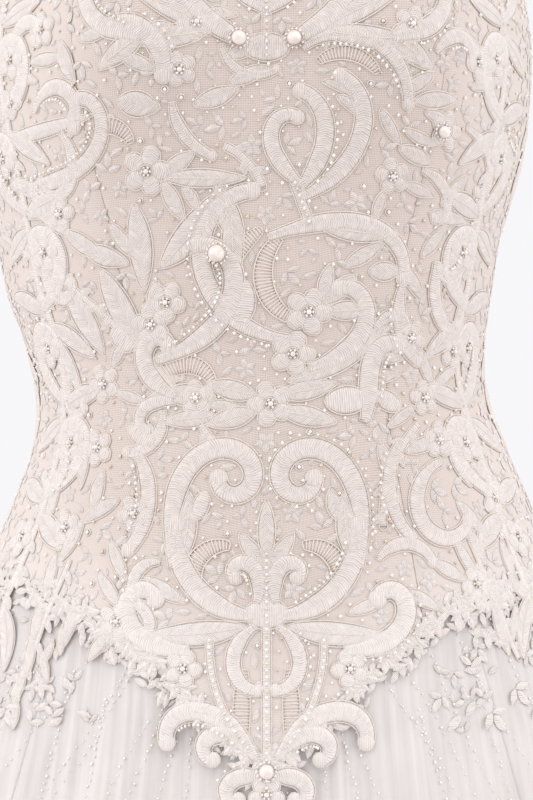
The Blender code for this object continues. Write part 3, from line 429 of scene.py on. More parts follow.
woven_tape, shader = new_material("woven_polyester_tape", Roughness=0.78)
uv = add_node(woven_tape, "ShaderNodeUVMap").outputs[0]
rows = add_node(
    woven_tape, "ShaderNodeTexWave", {"Vector": uv}, {"Scale": 0.35, "Distortion": 0.4}, bands_direction="Y"
).outputs[0]
yarn = add_node(
    woven_tape, "ShaderNodeMix", {0: rows}, {A: linear("#DDD2CB"), B: linear("#EEE6E0")}, data_type="RGBA"
)
bump = add_node(woven_tape, "ShaderNodeBump", {"Height": rows}, {"Strength": 0.4, "Distance": 0.0003})
woven_tape.node_tree.links.new(yarn.outputs[MIXED], shader.inputs["Base Color"])
woven_tape.node_tree.links.new(bump.outputs[0], shader.inputs["Normal"])

nylon_coil, shader = new_material("nylon_coil", Roughness=0.35, IOR=1.53)
place = add_node(nylon_coil, "ShaderNodeTexCoord").outputs["Object"]
dyed = add_node(nylon_coil, "ShaderNodeTexNoise", {"Vector": place}, {"Scale": 400, "Detail": 2}).outputs[0]
shade = add_node(
    nylon_coil, "ShaderNodeMix", {0: dyed}, {A: linear("#DED4CC"), B: linear("#EFE7E1")}, data_type="RGBA"
)
nylon_coil.node_tree.links.new(shade.outputs[MIXED], shader.inputs["Base Color"])

nickel, shader = new_material("nickel_plate", Base_Color=linear("#D8D3CC"), Metallic=1.0)
place = add_node(nickel, "ShaderNodeTexCoord").outputs["Object"]
wear = add_node(nickel, "ShaderNodeTexNoise", {"Vector": place}, {"Scale": 700, "Detail": 3}).outputs[0]
worn = add_node(nickel, "ShaderNodeMapRange", {"Value": wear}, {"To Min": 0.18, "To Max": 0.38}).outputs[0]
nickel.node_tree.links.new(worn, shader.inputs["Roughness"])

matt_floor, shader = new_material("matt_floor", Roughness=0.9)
place = add_node(matt_floor, "ShaderNodeTexCoord").outputs["Object"]
grain = add_node(matt_floor, "ShaderNodeTexNoise", {"Vector": place}, {"Scale": 3, "Detail": 4}).outputs[0]
paint = add_node(
    matt_floor, "ShaderNodeMix", {0: grain}, {A: linear("#DAD6D5"), B: linear("#E2DFDE")}, data_type="RGBA"
)
matt_floor.node_tree.links.new(paint.outputs[MIXED], shader.inputs["Base Color"])
print("materials:", len(bpy.data.materials))

# %% [markdown]
# ## Meshes from arrays
#
# Every new piece is worked out as whole numpy arrays of points and corner numbers, and one function
# puts them into a mesh. A closed wall is two grids of points, one for each side, joined by a strip
# round the border.

# %% Meshes from arrays
def add_piece(name, points, faces, material, uv=None, replaces=(), smooth=True):
    """Makes one object at the origin from points (n, 3), faces (m, 3 or 4) and a UV for each point."""
    faces = np.ascontiguousarray(faces, dtype=np.int32)
    mesh = bpy.data.meshes.new(name)
    mesh.vertices.add(len(points))
    mesh.vertices.foreach_set("co", np.ascontiguousarray(points, dtype=np.float32).ravel())
    mesh.loops.add(faces.size)
    mesh.loops.foreach_set("vertex_index", faces.ravel())
    mesh.polygons.add(len(faces))
    mesh.polygons.foreach_set("loop_start", np.arange(len(faces), dtype=np.int32) * faces.shape[1])
    mesh.polygons.foreach_set("use_smooth", np.full(len(faces), smooth))
    if uv is not None:
        layer = mesh.uv_layers.new(name="UVMap")
        layer.data.foreach_set("uv", np.asarray(uv, dtype=np.float32)[faces.ravel()].ravel())
    mesh.update(calc_edges=True)
    mesh.validate()
    mesh.materials.append(material)
    piece = bpy.data.objects.new(name, mesh)
    scene.collection.objects.link(piece)
    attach(piece, "dress")
    if replaces:
        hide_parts(*replaces)
    return piece


def wall(outer, inner):
    """Points and four-cornered faces of a closed wall between two grids (rows, columns, 3)."""
    rows, columns = outer.shape[:2]
    index = np.arange(rows * columns).reshape(rows, columns)
    cells = np.stack([index[:-1, :-1], index[:-1, 1:], index[1:, 1:], index[1:, :-1]], axis=-1).reshape(-1, 4)
    border = np.concatenate([index[0], index[1:, -1], index[-1, -2::-1], index[-2:0:-1, 0]])
    after = np.roll(border, -1)
    rim = np.stack([after, border, border + rows * columns, after + rows * columns], axis=-1)
    points = np.concatenate([outer.reshape(-1, 3), inner.reshape(-1, 3)])
    return points, np.concatenate([cells, cells[:, ::-1] + rows * columns, rim])


def cloth_uv(grid):
    """Millimetres measured along the rows and up the columns of a grid, for both sides of a wall."""
    along = np.linalg.norm(np.diff(grid, axis=1), axis=-1)
    up = np.linalg.norm(np.diff(grid, axis=0), axis=-1)
    u = np.concatenate([np.zeros((len(grid), 1)), np.cumsum(along, axis=1)], axis=1)
    u = u - u[:, u.shape[1] // 2, None]
    v = np.concatenate([np.zeros((1, grid.shape[1])), np.cumsum(up, axis=0)], axis=0)
    uv = np.stack([u, v], axis=-1).reshape(-1, 2) / MM
    return np.concatenate([uv, uv])


print("helpers ready")

# %% [markdown]
# ## The bodice
#
# Seven panels meet in curved seams, as in any boned bodice: one in the middle, then a side front,
# a side back and a back on each side. The cloth is a shell 1.2 mm thick. Each edge turns in a little at
# its seam, and a few soft creases lie at the waist, where a fitted bodice always wrinkles.

# %% The bodice
# Top edge. Columns: angle in degrees, height in metres
NECKLINE = np.array(
    [
        (-30, 0.243),
        (-12, 0.222),
        (0, 0.206),
        (12, 0.222),
        (30, 0.243),
        (50, 0.233),
        (70, 0.207),
        (90, 0.188),
        (120, 0.158),
        (150, 0.137),
        (180, 0.130),
        (210, 0.137),
    ]
)
# Curved seams. Columns: height in metres, angle of the front seam, angle of the back seam
PRINCESS_SEAMS = np.array(
    [
        (-0.215, 27, 152),
        (-0.110, 29, 152),
        (0.000, 31, 153),
        (0.090, 35, 150),
        (0.165, 38, 146),
        (0.255, 36, 146),
    ]
)
# Creases. Columns: angle in degrees, height in mm, half length in mm, half width in mm, depth in mm
CREASES = [
    (74, 8, 34, 4.0, 0.9),
    (66, -9, 26, 3.4, 0.7),
    (84, -22, 30, 4.5, 0.8),
    (-72, 5, 30, 4.0, 0.9),
    (-82, -12, 34, 4.4, 0.8),
    (-60, -26, 22, 3.6, 0.6),
    (118, 2, 36, 4.6, 1.0),
    (126, -16, 28, 3.8, 0.8),
    (-116, 6, 32, 4.2, 1.0),
    (-128, -14, 30, 4.0, 0.7),
    (158, -4, 24, 3.6, 0.8),
    (-160, 3, 26, 3.8, 0.8),
]
SEAM_AT_SIDE, SEAM_AT_BACK = -0.105, -0.095


def turned_from_front(angle):
    return np.abs((angle + math.pi) % (2 * math.pi) - math.pi)


def seam_height(angle):
    """The waist seam: -0.105 m at the sides, 0.01 higher behind, and 0.09 lower in a point in front."""
    turned = turned_from_front(angle)
    rise = (SEAM_AT_BACK - SEAM_AT_SIDE) * smooth((turned - math.pi / 2) / (math.pi / 2))
    return SEAM_AT_SIDE + rise - 0.090 * np.exp(-((turned / math.radians(24)) ** 1.3))


def neck_height(angle):
    return through(NECKLINE, np.degrees(turned_from_front(angle)))[..., 0]


def crease_depth(angle, height):
    """The sum of one bell-shaped trough for each row of CREASES, in metres."""
    total = 0 * angle
    for at, up, half_length, half_width, depth in CREASES:
        off = (angle - math.radians(at)) * 125
        rise = height / MM - up - 0.12 * off
        total = total + depth * MM * np.exp(-((off / half_length) ** 2) - (rise / half_width) ** 2)
    return total


def bodice_panel(name, near, far, columns, rows):
    """A wall between two seams. Its edge columns turn in by 0.5 * exp(-(distance / 1.2) ** 2) mm."""
    share = (1 - np.cos(np.linspace(0, math.pi, columns + 1))) / 2
    angle = near(0.0) + (far(0.0) - near(0.0)) * share
    for _ in range(12):
        bottom, top = seam_height(angle), neck_height(angle)
        height = bottom + (top - bottom) * np.linspace(0, 1, rows + 1)[:, None]
        left, right = near(height) + 0.0012, far(height) - 0.0012
        angle = left + (right - left) * share
    edge = np.minimum(share, 1 - share) * np.abs(right - left) * 125
    lift = -0.5 * MM * np.exp(-((edge / 1.2) ** 2)) - crease_depth(angle, height)
    outer = moved_out(body_point, angle, height, lift)
    inner = moved_out(body_point, angle, height, lift - 1.2 * MM)
    points, faces = wall(outer, inner)
    uv = cloth_uv(outer) + [math.degrees(float(near(0.0))) * 2.2, 0]
    piece = add_piece(f"{name}_cloth", points, faces, net_ground, uv, [name])


def front_seam(height):
    return np.radians(through(PRINCESS_SEAMS, height)[..., 0])


def back_seam(height):
    return np.radians(through(PRINCESS_SEAMS, height)[..., 1])


def at_angle(degrees):
    return lambda height: math.radians(degrees) + 0 * np.asarray(height)


def other_side(edge):
    return lambda height: -edge(height)


bodice_panel("bodice_centre_front", other_side(front_seam), front_seam, 46, 64)
for name, near, far, columns in [
    ("bodice_side_front", front_seam, at_angle(90), 34),
    ("bodice_side_back", at_angle(90), back_seam, 30),
    ("bodice_back", back_seam, at_angle(180), 18),
]:
    bodice_panel(f"{name}_left", near, far, columns, 50)
    bodice_panel(f"{name}_right", other_side(far), other_side(near), columns, 50)

# %% [markdown]
# ## The skirt
#
# The net hangs from the waist seam in soft flutes, deep at the hem and almost flat at the hips, and
# every crest touches the body surface. Over that come the small folds that gathered net always has.
# They are listed one by one, uneven in place, width and depth, and they only ever go inwards, so that the
# net stays under the lace and outside the satin. The net is a shell 0.4 mm thick. The satin underskirt
# hangs inside the deepest folds.

# %% The skirt
NET_INSET, UNDERSKIRT_INSET, UNDERSKIRT_EASE = 3.1 * MM, 5.0 * MM, 0.010
FLUTES, FLUTE_DRIFT, FLUTE_UNEVEN = 15, 0.05, 0.25
# Columns: height in metres, depth of a flute in metres
FLUTE_DEPTHS = np.array(
    [(-1.090, 0.046), (-0.700, 0.031), (-0.450, 0.018), (-0.300, 0.009), (-0.200, 0.003), (-0.120, 0.0), (0.0, 0.0)]
)
# Small folds. Columns: angle at the waist in degrees, angle further on at the hem, distance below the
# seam where the fold starts in mm, half width in mm at the hips, depth in mm
FOLDS = [
    (-3, -2, 4, 3.0, 2.6),
    (6, 3, 10, 2.4, 2.0),
    (13, 7, 2, 3.4, 2.8),
    (19, 12, 16, 2.2, 1.8),
    (26, 16, 5, 3.0, 2.4),
    (31, 20, 22, 2.0, 1.6),
    (37, 22, 0, 3.6, 2.6),
    (45, 27, 12, 2.6, 2.0),
    (52, 30, 4, 3.2, 2.4),
    (61, 33, 20, 2.4, 1.8),
    (-9, -6, 14, 2.2, 1.8),
    (-15, -9, 3, 3.2, 2.6),
    (-22, -14, 9, 2.4, 2.0),
    (-28, -18, 0, 3.4, 2.8),
    (-34, -21, 18, 2.2, 1.7),
    (-41, -25, 6, 3.2, 2.4),
    (-49, -29, 15, 2.4, 1.9),
    (-56, -31, 2, 3.4, 2.6),
    (-65, -34, 11, 2.6, 2.0),
    (72, 30, 6, 3.4, 2.4),
    (81, 26, 14, 2.6, 2.0),
    (90, 20, 3, 3.6, 2.6),
    (101, 14, 12, 2.8, 2.2),
    (112, 8, 5, 3.4, 2.6),
    (121, 3, 16, 2.4, 1.8),
    (133, -3, 2, 3.6, 2.8),
    (144, -5, 10, 2.8, 2.0),
    (156, -4, 4, 3.4, 2.6),
    (168, -2, 13, 2.6, 2.2),
    (-74, -28, 4, 3.4, 2.6),
    (-84, -22, 13, 2.6, 2.0),
    (-95, -16, 2, 3.6, 2.8),
    (-106, -10, 9, 2.8, 2.0),
    (-118, -4, 5, 3.4, 2.6),
    (-129, 2, 15, 2.6, 1.9),
    (-140, 5, 3, 3.4, 2.6),
    (-152, 5, 11, 2.8, 2.2),
    (-163, 3, 4, 3.4, 2.6),
    (-174, 1, 14, 2.6, 2.0),
]


def flute_depth(angle, height):
    """Depth * (1 - cos(15 * drifted angle)) / 2 * (0.75 + 0.25 * cos(5 * angle + 2))."""
    drifted = angle + FLUTE_DRIFT * np.sin(3 * angle + 1)
    wave = (1 - np.cos(FLUTES * drifted)) / 2
    strength = 1 - FLUTE_UNEVEN + FLUTE_UNEVEN * np.cos(5 * angle + 2)
    return through(FLUTE_DEPTHS, height)[..., 0] * wave * strength


def inset_body(angle, height, inset):
    """The body surface, moved level towards the inside by `inset`."""
    step = 1e-4
    along = body_point(angle + step, height) - body_point(angle - step, height)
    out = np.stack([along[..., 1], -along[..., 0], 0 * along[..., 0]], axis=-1)
    out = out / np.linalg.norm(out, axis=-1, keepdims=True)
    return body_point(angle, height) - out * np.asarray(inset)[..., None]


def underskirt_inset(height):
    deepest = through(FLUTE_DEPTHS, height)[..., 0]
    return UNDERSKIRT_INSET + deepest + UNDERSKIRT_EASE * smooth((SEAM_AT_BACK - 0.02 - height) / 0.15)


def underskirt_point(angle, height):
    return inset_body(angle, height, underskirt_inset(height) + 0 * angle)


def fold_depth(angle, height):
    """Bell-shaped troughs that start below the seam, widen and fan out downwards, and a fine ripple of
    uneven gathers. The sum is held back by room / (1 + room / sum), so it never meets the satin."""
    below = (seam_height(angle) - height) / MM
    spread = smooth(below / 900)
    wide = 0.115 + 0.42 * np.clip(below / 950, 0, 1)
    total = 0 * angle
    for at, fan, start, half_width, depth in FOLDS:
        turned = angle - math.radians(at) - math.radians(fan) * spread
        away = ((turned + math.pi) % (2 * math.pi) - math.pi) * wide / MM
        grown = half_width * (1 + below / 160)
        swell = smooth((below - start) / 130) * (1 + below / 260)
        total = total + depth * swell * np.exp(-((away / grown) ** 2))
    ripple = np.sin(83 * angle + 2.4 * np.sin(7 * angle + 1) + below / 95)
    finer = np.sin(151 * angle + 3.1 * np.sin(5 * angle) - below / 130)
    strength = smooth((below + 2) / 30) * (1 + below / 300)
    total = (total + strength * (0.30 * (1 + ripple) + 0.16 * (1 + finer))) * MM
    room = underskirt_inset(height) - NET_INSET - flute_depth(angle, height) - 1.0 * MM
    room = np.maximum(room, 0.2 * MM)
    return room * total / (room + total + 1e-9)


def net_point(angle, height):
    """The net: NET_INSET, less 1.6 mm where it comes out from under the bodice, and its flutes and folds."""
    below = (seam_height(angle) - height) / MM
    inset = NET_INSET - 1.6 * MM * (1 - smooth((below - 4) / 26))
    return inset_body(angle, height, inset + flute_depth(angle, height) + fold_depth(angle, height))


def gore(name, surface, thickness, start, end, columns, rows, hem, crowd, material):
    """A wall between two angles from the hem to 8 mm above the waist seam. Rows crowd to the top by
    share ** crowd."""
    share = np.linspace(0, 1, columns + 1)[None, :]
    angle = math.radians(start) + math.radians(end - start) * share + np.zeros((rows + 1, 1))
    top = seam_height(angle) + 8 * MM
    height = top + (hem - top) * np.linspace(1, 0, rows + 1)[:, None] ** crowd
    gap = 0.02 * MM / np.maximum(0.12, 0.12 + (top - height) * 0.4)
    angle = angle + gap * (1 - 2 * share)
    outer = surface(angle, height)
    inner = moved_out(surface, angle, height, np.full(angle.shape, -thickness))
    points, faces = wall(outer, inner)
    piece = add_piece(f"{name}_cloth", points, faces, material, cloth_uv(outer), [name])


for name, start, end, columns, rows in [
    ("skirt_front", -40, 40, 240, 60),
    ("skirt_side_left", 40, 120, 150, 46),
    ("skirt_side_right", -120, -40, 150, 46),
    ("skirt_back_left", 120, 180, 110, 42),
    ("skirt_back_right", -180, -120, 110, 42),
]:
    gore(name, net_point, 0.4 * MM, start, end, columns, rows, -1.090, 1.5, soft_net)
for name, start, end, columns in [
    ("underskirt_front", -50, 50, 56),
    ("underskirt_side_left", 50, 130, 44),
    ("underskirt_side_right", -130, -50, 44),
    ("underskirt_back", 130, 230, 56),
]:
    gore(name, underskirt_point, 1.0 * MM, start, end, columns, 36, -1.080, 1.2, satin)

# %% [markdown]
# ## From a flat drawing to the dress
#
# Lace is drawn flat, in millimetres across and up, and then laid on the dress. The distance across is
# measured round the body from the lace's own middle line. A table of the body's rings turns it into an
# angle: each row holds the angles at even distances, and a point reads the table between its four
# nearest entries. Below the waist seam the lace comes down on to the net.

# %% From a flat drawing to the dress
ACROSS = np.arange(-170.0, 171.0, 2.0)  # mm
LEVELS = np.arange(-300.0, 271.0, 4.0)  # mm


def angle_table(middle):
    """Angles at each distance in ACROSS, for each height in LEVELS, by the length of short chords."""
    turns = np.linspace(-math.pi, math.pi, 721)
    rings = body_point(middle + turns[None, :] + 0 * LEVELS[:, None], LEVELS[:, None] * MM + 0 * turns)
    steps = np.linalg.norm(np.diff(rings, axis=1), axis=-1) / MM
    length = np.concatenate([np.zeros((len(LEVELS), 1)), np.cumsum(steps, axis=1)], axis=1)
    length = length - length[:, 360:361]
    return middle + np.stack([np.interp(ACROSS, row, turns) for row in length])


angle_tables = {}


def lace_surface(flat, lift, middle):
    """Points (n, 2) in mm, raised by `lift` mm over the dress, with the lace's middle line at an angle."""
    if middle not in angle_tables:
        angle_tables[middle] = angle_table(middle)
    table = angle_tables[middle]
    column = np.clip((flat[:, 0] - ACROSS[0]) / 2.0, 0, len(ACROSS) - 1.001)
    row = np.clip((flat[:, 1] - LEVELS[0]) / 4.0, 0, len(LEVELS) - 1.001)
    i, j = row.astype(int), column.astype(int)
    s, t = row - i, column - j
    angle = (
        table[i, j] * (1 - s) * (1 - t)
        + table[i + 1, j] * s * (1 - t)
        + table[i, j + 1] * (1 - s) * t
        + table[i + 1, j + 1] * s * t
    )
    height = flat[:, 1] * MM
    below = (seam_height(angle) - height) / MM
    drop = NET_INSET / MM * smooth((below - 6) / 24)
    return moved_out(body_point, angle, height, (lift - drop) * MM)


spot = lace_surface(np.array([[30.0, -50.0]]), np.array([1.0]), 0.0)[0]
print("30 mm to the left of the middle and 50 mm below the waist:", spot.round(4))

# %% [markdown]
# ## The lace's drawing
#
# Each row is one motif: a scroll, leaf, petal, stem, ladder crescent, flower or pearl. Its heading turns
# evenly along it by `bend`, and faster and faster by `curl`, so that a scroll rolls up at its end. The
# lower half is the mirror image of itself, as in the photograph, and the upper part is not.

# %% The lace's drawing
# Columns: kind, across, up, heading, length, width, bend, curl. A flower's or pearl's length is its radius
MEDALLION_HALF = [
    ("scroll", 46, -99, 80, 122, 10.5, 58, 316),
    ("leaf", 43, -97, 106, 36, 9.5, -18, 0),
    ("scroll", 6, -122, 2, 66, 11, 92, 0),
    ("scroll", 5, -116, 108, 34, 8.5, -60, -190),
    ("ladder", 18, -88, 10, 46, 9, -165, 0),
    ("leaf", 1, -97, 42, 20, 7.5, 20, 0),
    ("scroll", 5, -127, -28, 42, 7.5, -105, -50),
    ("leaf", 10, -127, -14, 50, 12, 18, 0),
    ("scroll", 38, -139, -2, 64, 11, 62, 190),
    ("stem", 28, -134, -88, 56, 3.4, -44, 0),
    ("ladder", 11, -148, -84, 38, 8, -10, 0),
    ("scroll", 7, -188, 60, 60, 10, -66, -100),
    ("scroll", 5, -191, 58, 42, 9, -66, -170),
    ("scroll", 1, -200, 12, 31, 8.5, -40, -190),
    ("flower", 41, -148, 0, 9.5, 0, 0, 0),
]
MEDALLION_SPINE = [
    ("leaf", 0, -95, 90, 30, 8.5, 0, 0),
    ("stem", 0, -92, -90, 116, 4.0, 0, 0),
    ("petal", -11, -121, 0, 22, 15, 0, 0),
    ("flower", 0, -208, 0, 9, 0, 0, 0),
    ("pearl", 0, -197, 0, 3.6, 0, 0, 0),
]
UPPER_LACE = [
    ("flower", 2, -18, 0, 11.5, 0, 0, 0),
    ("leaf", 6, -14, 12, 30, 10, 0, 0),
    ("leaf", 6, -21, -12, 30, 10, 0, 0),
    ("petal", 29, -17, 4, 23, 14, 0, 0),
    ("scroll", 50, -27, 74, 50, 11, 60, -170),
    ("leaf", -5, -14, 166, 26, 10, 0, 0),
    ("leaf", -5, -22, 194, 26, 10, 0, 0),
    ("leaf", -25, -15, 172, 30, 11, 10, 0),
    ("leaf", -25, -24, 186, 28, 9, 0, 0),
    ("scroll", -46, -14, 156, 48, 10, -60, -170),
    ("scroll", 12, 14, 176, 112, 10, -122, -50),
    ("scroll", 1, 65, 20, 88, 9, -26, -100),
    ("ladder", 14, 24, 160, 50, 9, -120, 0),
    ("leaf", 26, 71, -12, 42, 10, 14, 0),
    ("leaf", 27, 34, 74, 19, 7, 0, 0),
    ("leaf", 28, 32, 40, 23, 9, 0, 0),
    ("leaf", 29, 28, 4, 25, 9.5, 0, 0),
    ("scroll", 21, 0, 14, 66, 10, 60, 130),
    ("leaf", 10, -7, 16, 50, 9, 14, 0),
    ("scroll", 18, 90, 140, 50, 8, -30, -150),
    ("scroll", 15, 88, 44, 58, 9, 60, 60),
    ("scroll", 16, 84, 24, 78, 9, 62, 70),
    ("stem", 14, 92, -70, 22, 5, 0, 0),
    ("flower", 21, 28, 0, 12, 0, 0, 0),
    ("flower", 13, 7, 0, 11.5, 0, 0, 0),
    ("leaf", -12, 60, 118, 36, 12, -14, 0),
    ("leaf", -18, 40, 84, 44, 11, 12, 0),
    ("flower", -60, 98, 0, 12.5, 0, 0, 0),
    ("leaf", -52, 96, 34, 20, 8, 0, 0),
    ("leaf", -52, 95, -4, 42, 9, 6, 0),
    ("leaf", -52, 94, -66, 24, 8, 8, 0),
    ("leaf", -54, 50, 42, 52, 15, 16, 0),
    ("flower", -51, 33, 0, 10.5, 0, 0, 0),
    ("flower", -59, 22, 0, 11, 0, 0, 0),
    ("scroll", -56, 4, 16, 90, 10.5, 60, 120),
    ("ladder", -56, -10, 76, 38, 9, -140, 0),
    ("pearl", -24.5, 57, 0, 4.2, 0, 0, 0),
]
BUST_HALF = [
    ("scroll", 1, 176, 150, 44, 10, -40, -190),
    ("scroll", 4, 158, 20, 84, 10.5, 40, 130),
    ("leaf", 27, 166, 30, 42, 11, -10, 0),
    ("leaf", 28, 166, -14, 44, 11, 16, 0),
    ("scroll", 62, 162, 8, 62, 10, 50, 170),
    ("leaf", 60, 164, -34, 30, 11, 0, 0),
    ("flower", 46, 188, 0, 12, 0, 0, 0),
    ("pearl", 14, 162, 0, 3.6, 0, 0, 0),
]
BUST_SPINE = [("petal", -12, 158, 0, 24, 14, 0, 0), ("stem", 0, 154, 90, 28, 4, 0, 0)]
SIDE_UNIT = [
    ("stem", 0, 4, -84, 58, 4, -12, 0),
    ("scroll", -2, -6, 28, 66, 10, 66, 190),
    ("leaf", 0, -14, -26, 32, 11, -14, 0),
    ("leaf", 0, -8, 152, 32, 11, 20, 0),
    ("flower", -8, -26, 0, 10.5, 0, 0, 0),
]
BACK_UNIT = [
    ("stem", 0, 4, -86, 68, 3.6, -8, 0),
    ("scroll", -1, -8, 30, 62, 9.5, 60, 190),
    ("leaf", 0, -16, 200, 30, 10, 16, 0),
]
SPRAY = [
    ("stem", 0, 6, -92, 46, 3.6, 4, 0),
    ("leaf", 0, -4, -52, 36, 10.5, -20, 0),
    ("leaf", 0, -10, -130, 36, 10.5, 20, 0),
    ("leaf", 0, -30, -62, 30, 9, -14, 0),
    ("leaf", 0, -34, -104, 34, 9.5, 8, 0),
]

# How each run of side and back lace repeats down the bodice. Columns: name, angle of its middle in
# degrees, height of the first unit, number of units, step between units, unit, height of the spray
# under it. Heights are in millimetres
RUNS = [
    ("lace_side_left", 58, 184, 6, 49, SIDE_UNIT, -106),
    ("lace_side_right", -58, 184, 6, 49, SIDE_UNIT, -118),
    ("lace_side_back_left", 92, 148, 4, 62, BACK_UNIT, -100),
    ("lace_side_back_right", -92, 148, 4, 62, BACK_UNIT, -100),
]
# The back isn't shown: plainer rows of the same kind, either side of the zip, without solids of their own
BACK_GROUND = [
    ("lace_back_outer_left", 121, 104, 4, 54, BACK_UNIT),
    ("lace_back_outer_right", -121, 104, 4, 54, BACK_UNIT),
    ("lace_back_inner_left", 152, 84, 4, 48, SIDE_UNIT),
    ("lace_back_inner_right", -152, 84, 4, 48, SIDE_UNIT),
]
# More motifs that fill the ground round the main ones, above, at and below the waist. Their
# distances across are all measured from the middle of the front
BUST_GROUND = [
    ("scroll", -127.1, 129.8, 77, 48.6, 8.5, -190, 0),
    ("leaf", -74.4, 131.9, -9, 22.3, 12.5, 0, 0),
    ("ladder", -90.4, 115.1, 54, 28.3, 7.5, -125, 0),
    ("leaf", -99.1, 133.4, -104, 18.1, 7.5, 8, 0),
    ("leaf", -153.4, 118.1, 2, 67.0, 8.0, 10, 0),
    ("scroll", -108.5, 118.6, -42, 52.8, 8.0, -130, -90),
    ("scroll", -141.3, 92.6, 3, 92.9, 9.0, 10, 180),
    ("flower", -145.6, 136.3, 0, 8.5, 0, 0, 0),
    ("leaf", -41.6, 91.4, -58, 16.8, 6.0, 0, 0),
    ("scroll", -46.7, 131.0, -84, 34.2, 6.0, 62, 0),
    ("stem", -21.0, 109.8, -22, 28.7, 4.0, -50, 0),
    ("leaf", -36.3, 129.6, 16, 24.7, 9.0, 10, 0),
    ("leaf", -19.0, 139.8, 26, 22.7, 7.5, -6, 0),
    ("flower", -43.2, 146.7, 0, 8.5, 0, 0, 0),
    ("scroll", -79.0, 169.9, 9, 44.1, 10.0, -104, 0),
    ("scroll", -22.5, 159.2, -80, 35.1, 5.0, 112, 0),
    ("leaf", -19.0, 152.4, 33, 21.8, 9.0, 0, 0),
    ("leaf", -96.6, 162.5, 12, 21.0, 7.0, 0, 0),
    ("leaf", -109.8, 163.8, -75, 24.9, 9.0, 24, 0),
    ("scroll", -146.1, 165.9, 67, 30.7, 9.0, -90, -120),
    ("leaf", -132.4, 155.3, 0, 26.4, 7.0, 0, 0),
    ("flower", -123.6, 170.4, 0, 9.5, 0, 0, 0),
    ("leaf", -153.9, 153.6, -17, 30.0, 6.5, 0, 0),
    ("leaf", -73.6, 155.0, -30, 22.9, 7.0, 12, 0),
    ("leaf", -57.5, 150.8, 39, 17.4, 6.5, 0, 0),
    ("flower", -34.9, 169.7, 0, 10.0, 0, 0, 0),
    ("leaf", -30.0, 175.8, -8, 15.8, 6.0, 0, 0),
    ("leaf", -44.8, 165.4, 171, 14.7, 6.0, 0, 0),
    ("scroll", 18.1, 157.3, 37, 73.3, 7.5, -128, 0),
    ("ladder", 25.5, 150.4, 39, 34.0, 6.5, -100, 0),
    ("scroll", 59.5, 163.5, -72, 21.3, 5.5, 74, 0),
    ("leaf", 61.0, 162.5, 22, 14.0, 8.0, 0, 0),
    ("leaf", 27.4, 140.7, 1, 24.7, 5.5, -60, 0),
    ("leaf", 34.3, 133.9, -20, 16.7, 5.0, -40, 0),
    ("leaf", 66.2, 135.6, 29, 22.6, 7.0, 0, 0),
    ("leaf", 72.7, 132.1, 6, 28.8, 8.0, 0, 0),
    ("flower", 93.8, 119.1, 0, 10.0, 0, 0, 0),
    ("pearl", 90.5, 118.9, 0, 3.0, 0, 0, 0),
    ("leaf", 66.0, 109.9, -20, 22.3, 8.0, 0, 0),
    ("leaf", 68.8, 119.1, -34, 20.7, 5.5, 30, 0),
    ("scroll", 86.3, 156.2, 56, 38.1, 8.0, -90, -90),
    ("leaf", 97.3, 168.1, -15, 23.9, 6.5, 0, 0),
    ("flower", 117.9, 154.6, 0, 10.0, 0, 0, 0),
    ("leaf", 110.9, 141.2, 15, 31.1, 6.5, 0, 0),
    ("leaf", 122.7, 138.5, -41, 25.5, 7.0, 10, 0),
    ("scroll", 107.9, 121.6, -16, 48.9, 7.0, -60, -120),
    ("leaf", 79.7, 127.3, -13, 19.6, 6.0, 0, 0),
    ("flower", 72.3, 168.8, 0, 9.0, 0, 0, 0),
    ("leaf", 79.0, 173.3, 13, 20.4, 6.0, 0, 0),
    ("leaf", 139.7, 178.9, -51, 23.0, 6.5, 0, 0),
    ("scroll", 135.8, 129.0, -69, 40.2, 7.0, 30, 120),
    ("leaf", 56.1, 128.3, -62, 21.1, 6.0, 10, 0),
    ("flower", 63.4, 95.8, 0, 9.0, 0, 0, 0),
    ("leaf", 69.1, 92.1, -15, 19.9, 6.0, 0, 0),
    ("leaf", 59.4, 88.9, -110, 16.8, 5.5, 0, 0),
    ("scroll", 80.1, 99.4, -14, 37.6, 7.0, -60, -120),
]
